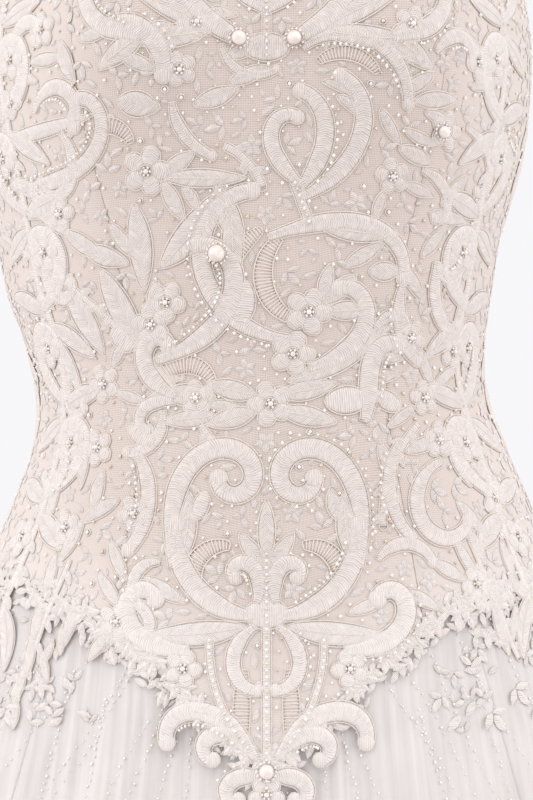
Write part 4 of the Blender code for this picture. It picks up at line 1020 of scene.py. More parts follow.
WAIST_GROUND = [
    ("leaf", -67.2, 82.6, -81, 45.3, 13.0, -6, 0),
    ("ladder", -17.2, 49.7, 72, 24.8, 7.0, -40, 0),
    ("petal", -13.2, 20.9, 84, 22.9, 13.0, 0, 0),
    ("leaf", -96.7, 60.7, -19, 27.7, 10.0, 4, 0),
    ("leaf", -87.4, 50.8, -60, 54.4, 14.0, -4, 0),
    ("leaf", -109.3, 40.8, -53, 40.7, 13.0, -6, 0),
    ("stem", -163.6, 70.6, -20, 184.8, 3.5, -38, 0),
    ("scroll", -124.2, 55.1, -82, 35.9, 8.0, 40, 160),
    ("leaf", -109.1, 70.7, -35, 31.0, 9.0, 10, 0),
    ("leaf", -132.5, 84.0, -24, 35.5, 8.0, -14, 0),
    ("scroll", -153.0, 90.4, 34, 38.5, 7.0, -70, -120),
    ("leaf", -80.8, 73.6, -59, 25.7, 7.5, 20, 0),
    ("flower", -111.2, 78.8, 0, 9.5, 0, 0, 0),
    ("leaf", -55.1, 44.1, -112, 18.1, 6.5, 20, 0),
    ("petal", -81.4, 19.5, -37, 16.6, 11.0, 0, 0),
    ("flower", -87.4, -7.9, 0, 10.0, 0, 0, 0),
    ("leaf", -82.1, 0.3, 58, 19.2, 6.5, 0, 0),
    ("leaf", -94.2, -11.9, -165, 23.1, 6.0, 0, 0),
    ("leaf", -79.9, -11.9, -17, 19.2, 6.0, 0, 0),
    ("leaf", -117.2, 15.0, -67, 31.7, 8.5, 10, 0),
    ("leaf", -129.8, 35.9, -77, 27.7, 7.5, -10, 0),
    ("scroll", -111.2, -1.6, -111, 32.5, 7.0, 40, 150),
    ("leaf", -60.1, -12.0, -9, 19.9, 6.5, 20, 0),
    ("scroll", -46.0, -17.0, 171, 31.9, 7.0, 50, 140),
    ("flower", -35.5, -15.0, 0, 9.0, 0, 0, 0),
    ("leaf", -29.4, -18.0, -8, 17.3, 6.0, 0, 0),
    ("leaf", 38.5, 50.4, 30, 24.7, 7.5, 0, 0),
    ("leaf", 51.6, 48.1, 3, 18.3, 9.5, 0, 0),
    ("scroll", 70.7, 42.5, -105, 42.6, 8.0, 44, 30),
    ("scroll", 91.6, 54.2, -96, 45.6, 8.5, 20, 110),
    ("leaf", 31.5, 3.0, 34, 39.8, 13.0, -10, 0),
    ("leaf", 68.1, 53.5, -45, 26.6, 7.5, -14, 0),
    ("leaf", 81.2, 55.9, 46, 24.4, 7.0, 0, 0),
    ("leaf", 99.4, 65.6, -72, 36.0, 8.5, 10, 0),
    ("leaf", 111.3, 35.6, -94, 30.8, 7.5, 0, 0),
    ("flower", 76.2, 15.4, 0, 9.5, 0, 0, 0),
    ("flower", 106.4, 8.8, 0, 9.5, 0, 0, 0),
    ("leaf", 81.3, 10.4, -64, 24.3, 7.0, 0, 0),
    ("leaf", 115.9, 3.7, -71, 24.8, 7.0, 0, 0),
    ("leaf", 101.0, 16.9, 108, 19.0, 6.0, 0, 0),
    ("scroll", 116.7, 70.6, -100, 41.1, 7.5, -20, -140),
    ("leaf", 85.2, 78.0, -5, 27.8, 7.5, 0, 0),
    ("leaf", 92.6, 82.3, 45, 22.6, 6.5, 0, 0),
    ("scroll", 55.2, 19.2, 58, 26.7, 6.5, -80, -100),
    ("leaf", 50.9, 8.1, -18, 21.6, 6.5, 20, 0),
    ("leaf", 47.7, -6.0, 9, 23.7, 7.0, 0, 0),
    ("petal", 54.2, -12.0, -28, 18.3, 10.0, 0, 0),
    ("flower", 85.0, -15.0, 0, 9.0, 0, 0, 0),
    ("leaf", 90.6, -9.9, 31, 23.3, 6.5, 0, 0),
    ("leaf", 78.5, -19.0, -146, 19.8, 6.0, 0, 0),
]
HIP_GROUND = [
    ("scroll", -69.5, -39.2, -49, 56.5, 8.5, -84, 0),
    ("scroll", -53.0, -21.5, -81, 33.2, 7.0, -104, 0),
    ("petal", -72.6, -30.1, -26, 18.3, 10.0, 0, 0),
    ("flower", -67.8, -73.0, 0, 9.0, 0, 0, 0),
    ("scroll", -53.4, -96.3, 172, 32.3, 6.5, 150, 0),
    ("leaf", -62.2, -103.8, -29, 25.8, 8.0, 0, 0),
    ("leaf", -76.0, -66.2, -161, 25.0, 7.5, 20, 0),
    ("leaf", -86.4, -51.4, -111, 25.4, 8.0, 14, 0),
    ("leaf", -99.6, -36.4, -93, 25.4, 7.5, 0, 0),
    ("flower", -91.0, -40.4, 0, 9.5, 0, 0, 0),
    ("scroll", -117.8, -31.5, -68, 41.3, 7.5, -50, -130),
    ("leaf", -117.1, -57.1, -111, 25.8, 7.5, 10, 0),
    ("leaf", -97.2, -76.6, -123, 26.1, 7.5, 0, 0),
    ("flower", -108.7, -81.0, 0, 9.5, 0, 0, 0),
    ("leaf", -80.8, -86.1, -65, 23.3, 7.0, 0, 0),
    ("leaf", -114.0, -93.2, -96, 23.7, 7.0, -20, 0),
    ("leaf", -87.0, -102.0, -53, 22.7, 7.0, 0, 0),
    ("scroll", -71.0, -114.3, -17, 29.7, 6.5, -60, -130),
    ("flower", -75.5, -126.1, 0, 10.0, 0, 0, 0),
    ("leaf", -79.2, -131.1, -131, 19.5, 6.0, 0, 0),
    ("leaf", -96.8, -114.2, -110, 27.0, 7.0, 0, 0),
    ("leaf", -106.5, -129.3, -98, 14.7, 5.0, 0, 0),
    ("leaf", -112.1, -136.4, -122, 14.4, 4.5, 0, 0),
    ("leaf", -119.1, -117.2, -110, 25.1, 7.0, 0, 0),
    ("leaf", -126.3, -134.3, -96, 21.6, 6.5, 0, 0),
    ("leaf", -129.6, -151.2, -110, 20.0, 6.0, 0, 0),
    ("leaf", -120.3, -141.8, -72, 16.9, 5.0, 0, 0),
    ("leaf", -133.1, -167.0, -97, 14.6, 5.0, 0, 0),
    ("stem", -104.3, -96.7, -113, 75.8, 2.5, -6, 0),
    ("petal", -35.1, -75.4, 70, 14.8, 8.0, 0, 0),
    ("leaf", -45.2, -89.3, 59, 19.8, 6.5, 0, 0),
    ("stem", 80.5, -28.2, -139, 57.1, 4.0, 52, 0),
    ("leaf", 35.6, -75.9, 104, 16.7, 7.5, 0, 0),
    ("scroll", 93.1, -47.5, -164, 71.3, 9.0, 190, 40),
    ("flower", 130.0, -66.5, 0, 10.0, 0, 0, 0),
    ("scroll", 56.0, -95.3, 57, 35.8, 7.0, -120, 0),
    ("scroll", 69.4, -36.1, -125, 52.6, 7.5, 80, 0),
    ("leaf", 71.5, -42.2, 17, 26.5, 7.5, 0, 0),
    ("flower", 92.8, -36.4, 0, 9.5, 0, 0, 0),
    ("leaf", 99.2, -40.5, -56, 24.5, 7.0, 0, 0),
    ("leaf", 114.3, -47.8, -32, 29.5, 7.0, 0, 0),
    ("leaf", 101.7, -66.7, -46, 27.5, 7.5, 0, 0),
    ("leaf", 107.0, -80.4, -59, 23.0, 7.0, 0, 0),
    ("leaf", 84.1, -96.0, -28, 24.2, 7.0, 0, 0),
    ("leaf", 97.8, -83.6, -62, 33.9, 6.0, 10, 0),
    ("leaf", 130.4, -87.7, -69, 22.6, 6.5, 0, 0),
    ("leaf", 133.5, -105.9, -44, 19.9, 6.0, 0, 0),
    ("leaf", 119.7, -100.3, -77, 24.0, 6.5, 0, 0),
    ("leaf", 70.5, -110.3, -29, 21.1, 6.5, 0, 0),
    ("leaf", 81.6, -121.4, -59, 15.2, 5.5, 0, 0),
    ("leaf", 120.3, -120.1, -64, 27.7, 7.0, 0, 0),
    ("leaf", 137.1, -120.1, -99, 19.9, 6.0, 0, 0),
    ("flower", 110.9, -108.8, 0, 9.0, 0, 0, 0),
    ("stem", 109.0, -86.9, -67, 66.4, 2.5, 6, 0),
    ("petal", 66.0, -70.9, 121, 15.2, 8.0, 0, 0),
    ("leaf", 64.3, -56.0, 110, 20.0, 6.5, 0, 0),
    ("leaf", 58.8, -114.9, -162, 20.6, 6.5, 0, 0),
]
print("motifs drawn:", len(MEDALLION_HALF) * 2 + len(MEDALLION_SPINE) + len(UPPER_LACE))

# %% [markdown]
# ## Padded stitching and cords
#
# A stitched band is a low dome swept along its motif's middle line. A cord runs all the way round its
# outline, held off the middle line by the band's half width, and by no more than the bend's own radius
# on the inside of a curl, so that it doesn't cross itself. Everything is worked out flat, in millimetres
# across, up and out, and joined into one mesh for each piece of lace.

# %% Padded stitching and cords
RIDGES = {"scroll": 1.15, "leaf": 0.85, "petal": 1.0, "stem": 0.8}  # mm
CORD_RADIUS, CORD_STEP = 0.38, 1.8  # mm


def motif_line(motif, step=1.65):
    """Columns x, y, half width and heading at even stations along a motif. Heading = heading + bend * u
    + curl * u ** 3, and x and y are the running sums of its cosine and sine."""
    kind, across, up, heading, length, width, bend, curl = motif
    count = max(9, int(round(length / step)) + 1)
    u = np.linspace(0, 1, count)
    turned = np.radians(heading + bend * u + curl * u**3)
    middle = (turned[1:] + turned[:-1]) / 2
    x = across + np.concatenate([[0], np.cumsum(np.cos(middle))]) * length / (count - 1)
    y = up + np.concatenate([[0], np.cumsum(np.sin(middle))]) * length / (count - 1)
    if kind == "scroll":
        half = width / 2 * (0.5 + 0.5 * smooth(u / 0.35)) * (1 - 0.2 * smooth((u - 0.6) / 0.4))
    elif kind == "leaf":
        half = width / 2 * np.sin(math.pi * u**0.9) ** 0.8
    elif kind == "petal":
        half = width / 2 * np.sqrt(np.clip(np.sin(math.pi * u), 0, 1))
    elif kind == "ladder":
        half = width / 2 * np.sin(math.pi * (0.07 + 0.86 * u)) ** 0.6
    else:
        half = width / 2 * np.ones(count)
    return np.stack([x, y, np.maximum(half, 0.12), turned], axis=-1)


def swept(rings, closed=False):
    """Points and triangles of a tube through rings (stations, corners, 3), with a fan over each end."""
    stations, corners = rings.shape[:2]
    index = np.arange(stations * corners).reshape(stations, corners)
    here = index if closed else index[:-1]
    ahead = np.roll(index, -1, axis=0) if closed else index[1:]
    a, b = here, np.roll(here, -1, axis=1)
    d, c = ahead, np.roll(ahead, -1, axis=1)
    faces = np.concatenate([np.stack([a, b, c], -1).reshape(-1, 3), np.stack([a, c, d], -1).reshape(-1, 3)])
    points = rings.reshape(-1, 3)
    if closed:
        return points, faces
    first, last = index[0], index[-1]
    total = len(points)
    start = np.stack([np.full(corners, total), np.roll(first, -1), first], axis=-1)
    end = np.stack([np.full(corners, total + 1), last, np.roll(last, -1)], axis=-1)
    points = np.concatenate([points, rings[:1].mean(axis=1), rings[-1:].mean(axis=1)])
    return points, np.concatenate([faces, start, end])


def band(line, ridge, base, slant=0.0, valley=0.0):
    """A domed band: its top is ridge * (1 - t * t) ** 0.6 above the base, for t from 1 to -1 across, less
    a valley down its middle, where the two rows of stitches meet. The UV is the distance along plus slant * the distance from the middle, so leaves get a herringbone."""
    x, y, half, turned = line.T
    side = np.array([1.0, 0.8, 0.42, 0.0, -0.42, -0.8, -1.0, 0.0])
    rise = np.array([0.12, 0.70, 0.95, 1.0 - valley, 0.95, 0.70, 0.12, 0.0])
    low = np.clip(half / 2.2, 0.25, 1)
    aside = half[:, None] * side
    rings = np.stack(
        [
            x[:, None] - np.sin(turned)[:, None] * aside,
            y[:, None] + np.cos(turned)[:, None] * aside,
            base + ridge * low[:, None] * rise,
        ],
        axis=-1,
    )
    along = np.concatenate([[0], np.cumsum(np.hypot(np.diff(x), np.diff(y)))])
    uv = np.stack([along[:, None] + slant * np.abs(aside), aside], axis=-1).reshape(-1, 2)
    points, faces = swept(rings)
    return points, faces, np.concatenate([uv, uv[:1], uv[-1:]])


def evenly(path, step):
    """A closed path (n, 2) read again at even steps along its length."""
    path = np.concatenate([path, path[:1]])
    along = np.concatenate([[0], np.cumsum(np.hypot(*np.diff(path, axis=0).T))])
    count = max(6, int(round(along[-1] / step)))
    at = np.linspace(0, along[-1], count, endpoint=False)
    return np.stack([np.interp(at, along, path[:, 0]), np.interp(at, along, path[:, 1])], axis=-1)


def outline(line, kind):
    """Once round a motif: up its left side, half round its end where it has one, and back down."""
    x, y, half, turned = line.T
    middle = np.stack([x, y], axis=-1)
    aside = np.stack([-np.sin(turned), np.cos(turned)], axis=-1)
    bend = np.gradient(turned) / np.maximum(np.hypot(np.gradient(x), np.gradient(y)), 1e-6)
    wide = half + 0.25
    left = np.where(bend > 0, np.minimum(wide, 0.8 / np.maximum(bend, 1e-6)), wide)[:, None]
    right = np.where(bend < 0, np.minimum(wide, 0.8 / np.maximum(-bend, 1e-6)), wide)[:, None]
    end = np.empty((0, 2))
    if kind in ("scroll", "stem"):
        swing = turned[-1] + np.linspace(math.pi / 2, -math.pi / 2, 9)[1:-1]
        end = middle[-1] + np.stack([np.cos(swing), np.sin(swing)], axis=-1) * wide[-1]
    return np.concatenate([middle + aside * left, end, (middle - aside * right)[::-1]])


def cord(path, radius=CORD_RADIUS, lift=0.4, sides=4, closed=True):
    """A round cord along a path: rings of `sides` points, at right angles to it."""
    if closed:
        heading = np.roll(path, -1, axis=0) - np.roll(path, 1, axis=0)
    else:
        heading = np.gradient(path, axis=0)
    heading = heading / np.maximum(np.linalg.norm(heading, axis=1, keepdims=True), 1e-9)
    around = np.arange(sides) * 2 * math.pi / sides
    aside = np.stack([-heading[:, 1], heading[:, 0]], axis=-1)[:, None, :] * np.cos(around)[:, None] * radius
    out = np.broadcast_to(lift + np.sin(around) * radius, (len(path), sides))
    rings = np.concatenate([path[:, None, :] + aside, out[..., None]], axis=-1)
    return swept(rings, closed)


def dome(x, y, radius, height, base, around=12, rings=4):
    """A closed button: radius * cos(a) wide at height * sin(a) above its base."""
    turn = np.arange(around) * 2 * math.pi / around
    rise = np.linspace(0.0, 0.42 * math.pi, rings)
    ring = np.stack([np.cos(turn), np.sin(turn)], axis=-1)
    levels = [np.concatenate([ring * radius * math.cos(a), 0 * ring[:, :1] + height * math.sin(a)], 1) for a in rise]
    levels = np.stack(levels) + [x, y, base]
    points, faces = swept(levels)
    return points, faces, points[:, :2] - [x, y]


def joined(parts):
    """Many meshes as one: points in a row, and face numbers moved up by the points before them."""
    starts = np.cumsum([0] + [len(part[0]) for part in parts[:-1]])
    points = np.concatenate([part[0] for part in parts])
    faces = np.concatenate([part[1] + start for part, start in zip(parts, starts)])
    uv = None
    if len(parts[0]) > 2:
        uv = np.concatenate([part[2] for part in parts])
    return points, faces, uv


covered = []  # points on motifs, each with the half width there, for spacing the small filling motifs
pearls, centres, row_beads = [], [], []


def petals(motif):
    """Five petals round a flower's middle, each a short wide band."""
    _, x, y, _, radius = motif[:5]
    for number in range(5):
        heading = 18 + 72 * number + (x * 7 + y * 3) % 60
        near = 0.16 * radius
        start = x + near * math.cos(math.radians(heading)), y + near * math.sin(math.radians(heading))
        yield ("petal", *start, heading, 0.86 * radius, 0.78 * radius, 0, 0)


def stitch_lace(name, motifs, middle, replaced, lowest=0.22):
    """Stitching and cords of one piece of lace, mapped on to the dress as two joined meshes."""
    bodies, cords = [], []
    for number, motif in enumerate(motifs):
        kind, x, y = motif[:3]
        base = lowest + 0.06 * (number % 5)
        if kind == "pearl":
            pearls.append((x, y, motif[4], middle))
            covered.append((lace_surface(np.array([[x, y]]), np.array([0.5]), middle)[0], motif[4] + 1))
            continue
        if kind == "flower":
            for petal in petals(motif):
                line = motif_line(petal)
                bodies.append(band(line, RIDGES["petal"], base, 0.35))
                cords.append(cord(evenly(outline(line, "petal"), CORD_STEP), lift=base + 0.2))
            centres.append((x, y, 0.17 * motif[4], middle))
            covered.append((lace_surface(np.array([[x, y]]), np.array([0.5]), middle)[0], motif[4]))
            continue
        line = motif_line(motif)
        if kind == "ladder":
            bodies.append(band(line, 0.15, 0.02))
            for x0, y0, half, turned in line[::1][1:-1]:
                aside = np.array([-math.sin(turned), math.cos(turned)]) * half
                path = np.array([[x0, y0]]) + np.linspace(-1, 1, 5)[:, None] * aside
                cords.append(cord(path, 0.5, 0.32, 4, closed=False))
        else:
            slant, valley = {"leaf": (0.9, 0.35), "scroll": (0.3, 0.5)}.get(kind, (0.0, 0.0))
            bodies.append(band(line, RIDGES[kind], base, slant, valley))
        if kind == "leaf" and motif[5] > 8.5 and lowest > 0.1:
            vein = line[2 : int(len(line) * 0.8), :2]
            cords.append(cord(vein, 0.3, base + 0.62, 4, closed=False))
        if kind == "scroll":
            end = line[-1]
            bodies.append(dome(end[0], end[1], end[2] * 1.12, 1.35, base))
        if kind == "stem" and middle == 0 and lowest > 0.1:
            row_beads.append((line[::2], middle))
        elif kind == "stem":
            for place, (x0, y0, _, turned) in enumerate(line[3:-2:4]):
                lean = 46 - 92 * (place % 2)
                leaf = motif_line(("leaf", x0, y0, math.degrees(turned) + lean, 9.0, 4.8, 0, 0), 2.0)
                bodies.append(band(leaf, 0.7, lowest, 0.9, 0.3))
        if kind == "scroll" and abs(middle) < 1.2 and number % 2 == 0:
            side = 1 if number % 4 else -1
            aside = np.stack([-np.sin(line[:, 3]), np.cos(line[:, 3])], axis=-1) * (line[:, 2:3] + 1.5) * side
            edge = line.copy()
            edge[:, :2] += aside
            row_beads.append((edge[6:-6:2], middle))
        cords.append(cord(evenly(outline(line, kind), CORD_STEP), lift=base + 0.2))
        spots = lace_surface(line[::2, :2], 0 * line[::2, 0] + 0.5, middle)
        covered.extend(zip(spots, line[::2, 2]))
    points, faces, uv = joined(bodies)
    stitched = lace_surface(points[:, :2], points[:, 2], middle)
    add_piece(f"{name}_stitching", stitched, faces, satin_stitch, uv, replaced)
    points, faces, _ = joined(cords)
    corded = lace_surface(points[:, :2], points[:, 2], middle)
    add_piece(f"{name}_cords", corded, faces, gimp_cord)
    print(name, "motifs:", len(motifs), "cord faces:", len(faces))


def mirrored(motifs):
    """Motifs turned over left to right."""
    return [(m[0], -m[1], m[2], 180 - m[3], m[4], m[5], -m[6], -m[7]) for m in motifs]


def shifted(motifs, across, up):
    return [(m[0], m[1] + across, m[2] + up, *m[3:]) for m in motifs]


# %% [markdown]
# ## Every piece of lace

# %% Every piece of lace
nodes = list(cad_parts)
medallion = MEDALLION_HALF + mirrored(MEDALLION_HALF) + MEDALLION_SPINE
bust = BUST_HALF + mirrored(BUST_HALF) + BUST_SPINE
stitch_lace("lace_medallion", medallion, 0.0, ["lace_medallion"])
stitch_lace("lace_front", UPPER_LACE, 0.0, [n for n in nodes if n.startswith("lace_front")])
stitch_lace("lace_bust", bust, 0.0, ["lace_bust"])
for name, middle, first, count, step, unit, spray in RUNS:
    motifs = shifted(SPRAY, 0, spray)
    for number in range(count):
        own = unit if (number % 2 == 0) == (middle > 0) else mirrored(unit)
        motifs += shifted(own, 0, first - number * step)
    stitch_lace(name, motifs, math.radians(middle), [name])
stitch_lace("lace_bust_ground", BUST_GROUND, 0.0, [], 0.05)
stitch_lace("lace_waist_ground", WAIST_GROUND, 0.0, [], 0.05)
stitch_lace("lace_hip_ground", HIP_GROUND, 0.0, [], 0.05)
for name, middle, first, count, step, unit in BACK_GROUND:
    motifs = []
    for number in range(count):
        own = unit if (number % 2 == 0) == (middle > 0) else mirrored(unit)
        motifs += shifted(own, 0, first - number * step)
    stitch_lace(name, motifs, math.radians(middle), [], 0.05)
print("pearls:", len(pearls), "flowers:", len(centres))

# %% [markdown]
# ## Small filling motifs
#
# Real lace of this kind leaves hardly a finger's width of bare net. Between the main motifs it has
# little sprigs, single leaflets and rings. They are dropped at seeded random places, the larger ones
# first, wherever the nearest motif is far enough away. Each kind is one small template, and all its
# copies are placed in one step: the template's points times each copy's own three directions.

# %% Small filling motifs
random = np.random.default_rng(7)


def small_leaf(x, y, heading, length, width):
    """A leaf of 5 stations and 3 corners, in mm. Its UV runs along it."""
    u = np.linspace(0, 1, 5)
    half = np.maximum(width / 2 * np.sin(math.pi * u**0.9) ** 0.8, 0.1)
    turn = math.radians(heading)
    middle = np.array([x, y]) + (length * u)[:, None] * [math.cos(turn), math.sin(turn)]
    aside = half[:, None, None] * np.array([1.0, 0.0, -1.0])[:, None] * [-math.sin(turn), math.cos(turn)]
    rise = np.array([0.05, 0.75, 0.05]) * np.clip(half / 1.4, 0.3, 1)[:, None] + 0.1
    rings = np.concatenate([middle[:, None, :] + aside, rise[..., None]], axis=-1)
    points, faces = swept(rings)
    return points, faces, np.stack([points[:, 0] + points[:, 1], points[:, 1]], axis=-1)


def ring_cord(radius):
    turn = np.arange(10) * 2 * math.pi / 10
    path = radius * np.stack([np.cos(turn), np.sin(turn)], axis=-1)
    points, faces = cord(path, 0.36, 0.4, 4)
    return points, faces, points[:, :2] * 0.3


TEMPLATES = {
    "sprig": [small_leaf(0, -1, 90, 8, 3.8), small_leaf(0, -2, 25, 7, 3.2), small_leaf(0, -2, 155, 7, 3.2)],
    "pair": [small_leaf(0, 0, 50, 7.5, 3.4), small_leaf(0, 0, 200, 7, 3.2), small_leaf(0, 0, -70, 5.5, 2.8)],
    "blossom": [small_leaf(0, 0, 18 + 72 * i, 5.6, 3.6) for i in range(5)],
    "curl": [small_leaf(-5, 0, 40, 7, 3.0), small_leaf(0, 3.6, -30, 6.5, 3.0), small_leaf(4, -1, -130, 4, 2.4)],
    "leaflet": [small_leaf(-4, 0, 0, 8, 3.6)],
    "bud": [small_leaf(-2.6, 0, 0, 5.2, 3.0)],
    "ring": [ring_cord(1.45)],
}


def surface_frames(angle, height):
    """Points on the dress, and the three directions there: across, up and out."""
    step = 1e-4
    place = moved_out(body_point, angle, height, 0 * angle)
    below = (seam_height(angle) - height) / MM
    drop = NET_INSET * smooth((below - 6) / 24)
    across = body_point(angle + step, height) - body_point(angle - step, height)
    up = body_point(angle, height + step) - body_point(angle, height - step)
    across = across / np.linalg.norm(across, axis=-1, keepdims=True)
    out = np.cross(across, up)
    out = out / np.linalg.norm(out, axis=-1, keepdims=True)
    return place - out * drop[:, None], np.stack([across, np.cross(out, across), out], axis=1)


def copies(template, places, frames, turns, sizes):
    """template (k, 3) in mm, turned, scaled, and set at every place (n, 3) with its frame (n, 3, 3)."""
    cosine, sine = np.cos(turns) * sizes, np.sin(turns) * sizes
    points, faces, uv = joined(template)
    x = points[:, 0] * cosine[:, None] - points[:, 1] * sine[:, None]
    y = points[:, 0] * sine[:, None] + points[:, 1] * cosine[:, None]
    z = points[:, 2] * sizes[:, None]
    local = np.stack([x, y, z], axis=-1) * MM
    placed = places[:, None, :] + np.einsum("nkc,ncx->nkx", local, frames)
    starts = np.arange(len(places))[:, None, None] * len(points)
    return placed.reshape(-1, 3), (faces + starts).reshape(-1, 3), np.tile(uv, (len(places), 1))


tries = 24000
turned = random.uniform(-1, 1, tries)
angle = math.pi * np.sign(turned) * np.abs(turned) ** 1.6
low, high = seam_height(angle) + 2 * MM, neck_height(angle) - 4 * MM
height = low + (high - low) * random.uniform(0, 1, tries)
places, frames = surface_frames(angle, height)
spots = np.array([spot for spot, _ in covered])
reach = np.array([half for _, half in covered])
room = np.full(tries, 40.0)
for start in range(0, tries, 1000):
    part = slice(start, start + 1000)
    away = np.linalg.norm(places[part, None, :] - spots[None, :, :], axis=-1) / MM - reach
    room[part] = away.min(axis=1)

taken_at, taken_reach = np.zeros((tries, 3)), np.zeros(tries)
taken, chosen = 0, {kind: [] for kind in (*TEMPLATES, "bead")}
for least, size, kinds in [
    (4.5, 6.3, ["sprig", "pair", "curl", "blossom", "sprig"]),
    (2.7, 4.8, ["leaflet", "leaflet", "bead", "ring"]),
    (1.3, 2.9, ["bead", "bud", "bead"]),
    (0.9, 1.9, ["bead"]),
]:
    for i in range(tries):
        if room[i] < least:
            continue
        away = np.linalg.norm(taken_at[:taken] - places[i], axis=1) / MM - taken_reach[:taken]
        if taken and away.min() < least:
            continue
        chosen[kinds[i % len(kinds)]].append(i)
        taken_at[taken], taken_reach[taken] = places[i], size
        taken += 1
parts = []
for kind, template in TEMPLATES.items():
    at = np.array(chosen[kind], dtype=int)
    turns = random.uniform(0, 2 * math.pi, len(at))
    parts.append(copies(template, places[at], frames[at], turns, random.uniform(0.85, 1.15, len(at))))
points, faces, uv = joined(parts)
add_piece("lace_filling", points, faces, satin_stitch, uv, smooth=False)
print("filling:", {kind: len(found) for kind, found in chosen.items()}, "faces:", len(faces))

# %% [markdown]
# ## A soft edge along the waist seam
#
# The lace doesn't stop at the waist seam. Over the hips it falls down on to the net in loose sprigs,
# close together at the seam and fewer further down, so the bodice melts into the skirt with no line.
# Along the point in front the big scrolls make the edge themselves, with small leaves between them.

# %% A soft edge along the waist seam
def fallen(count, share, deepest, kinds, sizes):
    """Copies on the net itself, at seeded places below the seam: deepest * u ** share down, in mm."""
    angle = random.uniform(-math.pi, math.pi, count)
    reach = 0.35 + 0.65 * np.clip(1.4 - np.abs(np.abs(angle) - 1.05) / 0.75, 0, 1)
    reach = np.where(np.abs(angle) < 0.5, 0.18, reach)
    below = deepest * reach * random.uniform(0, 1, count) ** share - 3
    height = seam_height(angle) - below * MM
    _, own = surface_frames(angle, height)
    at = moved_out(net_point, angle, height, (1.7 - 1.4 * smooth(below / 14)) * MM)
    on_bodice = moved_out(body_point, angle, height, 0 * angle + 0.2 * MM)
    at = np.where((below < 0)[:, None], on_bodice, at)
    turns = math.pi + 0.35 * np.sin(angle) + random.uniform(-0.9, 0.9, count)
    size = random.uniform(*sizes, count)
    return [
        copies(TEMPLATES[kind], at[n :: len(kinds)], own[n :: len(kinds)], turns[n :: len(kinds)], size[n :: len(kinds)])
        for n, kind in enumerate(kinds)
    ]


parts = fallen(640, 2.1, 66, ("sprig", "pair", "curl", "leaflet"), (0.85, 1.35))
parts += fallen(420, 0.9, 12, ("leaflet", "sprig", "pair"), (0.8, 1.2))
points, faces, uv = joined(parts)
add_piece("lace_seam_edge", points, faces, satin_stitch, uv, smooth=False)
print("sprigs over the seam:", 640 + 420, "faces:", len(faces))

# %% [markdown]
# ## Beads and pearls
#
# Clear and gold-lined beads of 1.6 to 2.4 mm are strewn over the net and sewn along the stems. Flowers
# have one in the middle, and a few pearls of 7 to 8 mm stand in rings of small beads. A bead is a low
# ball of 36 faces, which is round enough at this size, and each kind of bead is one joined mesh.

# %% Beads and pearls
def ball(around, rings):
    """A unit ball with poles along z: sin(a) wide at height cos(a)."""
    turn = np.arange(around) * 2 * math.pi / around
    fall = np.linspace(math.pi * 0.93, math.pi * 0.07, rings)
    circle = np.stack([np.cos(turn), np.sin(turn)], axis=-1)
    levels = np.concatenate(
        [circle[None] * np.sin(fall)[:, None, None], np.broadcast_to(np.cos(fall)[:, None, None], (rings, around, 1))],
        axis=-1,
    )
    points, faces = swept(levels[::-1])
    return points, faces[:, ::-1]


def add_beads(name, places, outs, radii, material, around=6, rings=3):
    """One joined mesh of balls at places (n, 3), each standing out by 0.8 of its radius."""
    points, faces = ball(around, rings)
    radii = np.asarray(radii)
    middles = places + outs * (radii * 0.8)[:, None]
    placed = middles[:, None, :] + points[None] * radii[:, None, None]
    starts = np.arange(len(places))[:, None, None] * len(points)
    piece = add_piece(name, placed.reshape(-1, 3), (faces + starts).reshape(-1, 3), material)
    print(name, len(places), "balls,", len(piece.data.polygons), "faces")


def lace_spots(flat, lift, middle):
    """Places and outward directions for points of a flat drawing."""
    near = lace_surface(flat, lift, middle)
    far = lace_surface(flat, lift + 1, middle)
    return near, (far - near) / MM


bead_at, bead_out, bead_size = [], [], []
at = np.array(chosen["bead"], dtype=int)
bead_at.append(places[at])
bead_out.append(frames[at, 2])
bead_size.append(random.uniform(0.7, 1.05, len(at)))
at = np.array(chosen["ring"], dtype=int)
bead_at.append(places[at])
bead_out.append(frames[at, 2])
bead_size.append(np.full(len(at), 1.1))
for line, middle in row_beads:
    near, out = lace_spots(line[:, :2], 0 * line[:, 0] + 1.2, middle)
    bead_at.append(near)
    bead_out.append(out)
    bead_size.append(random.uniform(0.75, 1.0, len(line)))
for x, y, around, middle in [(x, y, 2.0, m) for x, y, _, m in centres] + [(x, y, r + 1.0, m) for x, y, r, m in pearls]:
    number = max(6, int(round(2 * math.pi * around / 2.0)))
    turn = np.arange(number) * 2 * math.pi / number
    flat = np.array([[x, y]]) + around * np.stack([np.cos(turn), np.sin(turn)], axis=-1)
    near, out = lace_spots(flat, np.full(number, 1.0), middle)
    bead_at.append(near)
    bead_out.append(out)
    bead_size.append(np.full(number, 0.72))
bead_at, bead_out = np.concatenate(bead_at), np.concatenate(bead_out)
bead_size = np.concatenate(bead_size) * MM
gold = np.arange(len(bead_at)) % 4 == 3
add_beads("clear_beads", bead_at[~gold], bead_out[~gold], bead_size[~gold], clear_glass)
add_beads("gold_beads", bead_at[gold], bead_out[gold], bead_size[gold], gold_lined)

pearl_at, pearl_out, pearl_size = [], [], []
for x, y, radius, middle in pearls:
    near, out = lace_spots(np.array([[x, y]]), np.array([0.6]), middle)
    pearl_at.append(near[0])
    pearl_out.append(out[0])
    pearl_size.append(radius * MM)
for x, y, radius, middle in centres:
    near, out = lace_spots(np.array([[x, y]]), np.array([0.8]), middle)
    pearl_at.append(near[0])
    pearl_out.append(out[0])
    pearl_size.append(1.35 * MM)
add_beads("pearls", np.array(pearl_at), np.array(pearl_out), pearl_size, pearl, 14, 9)

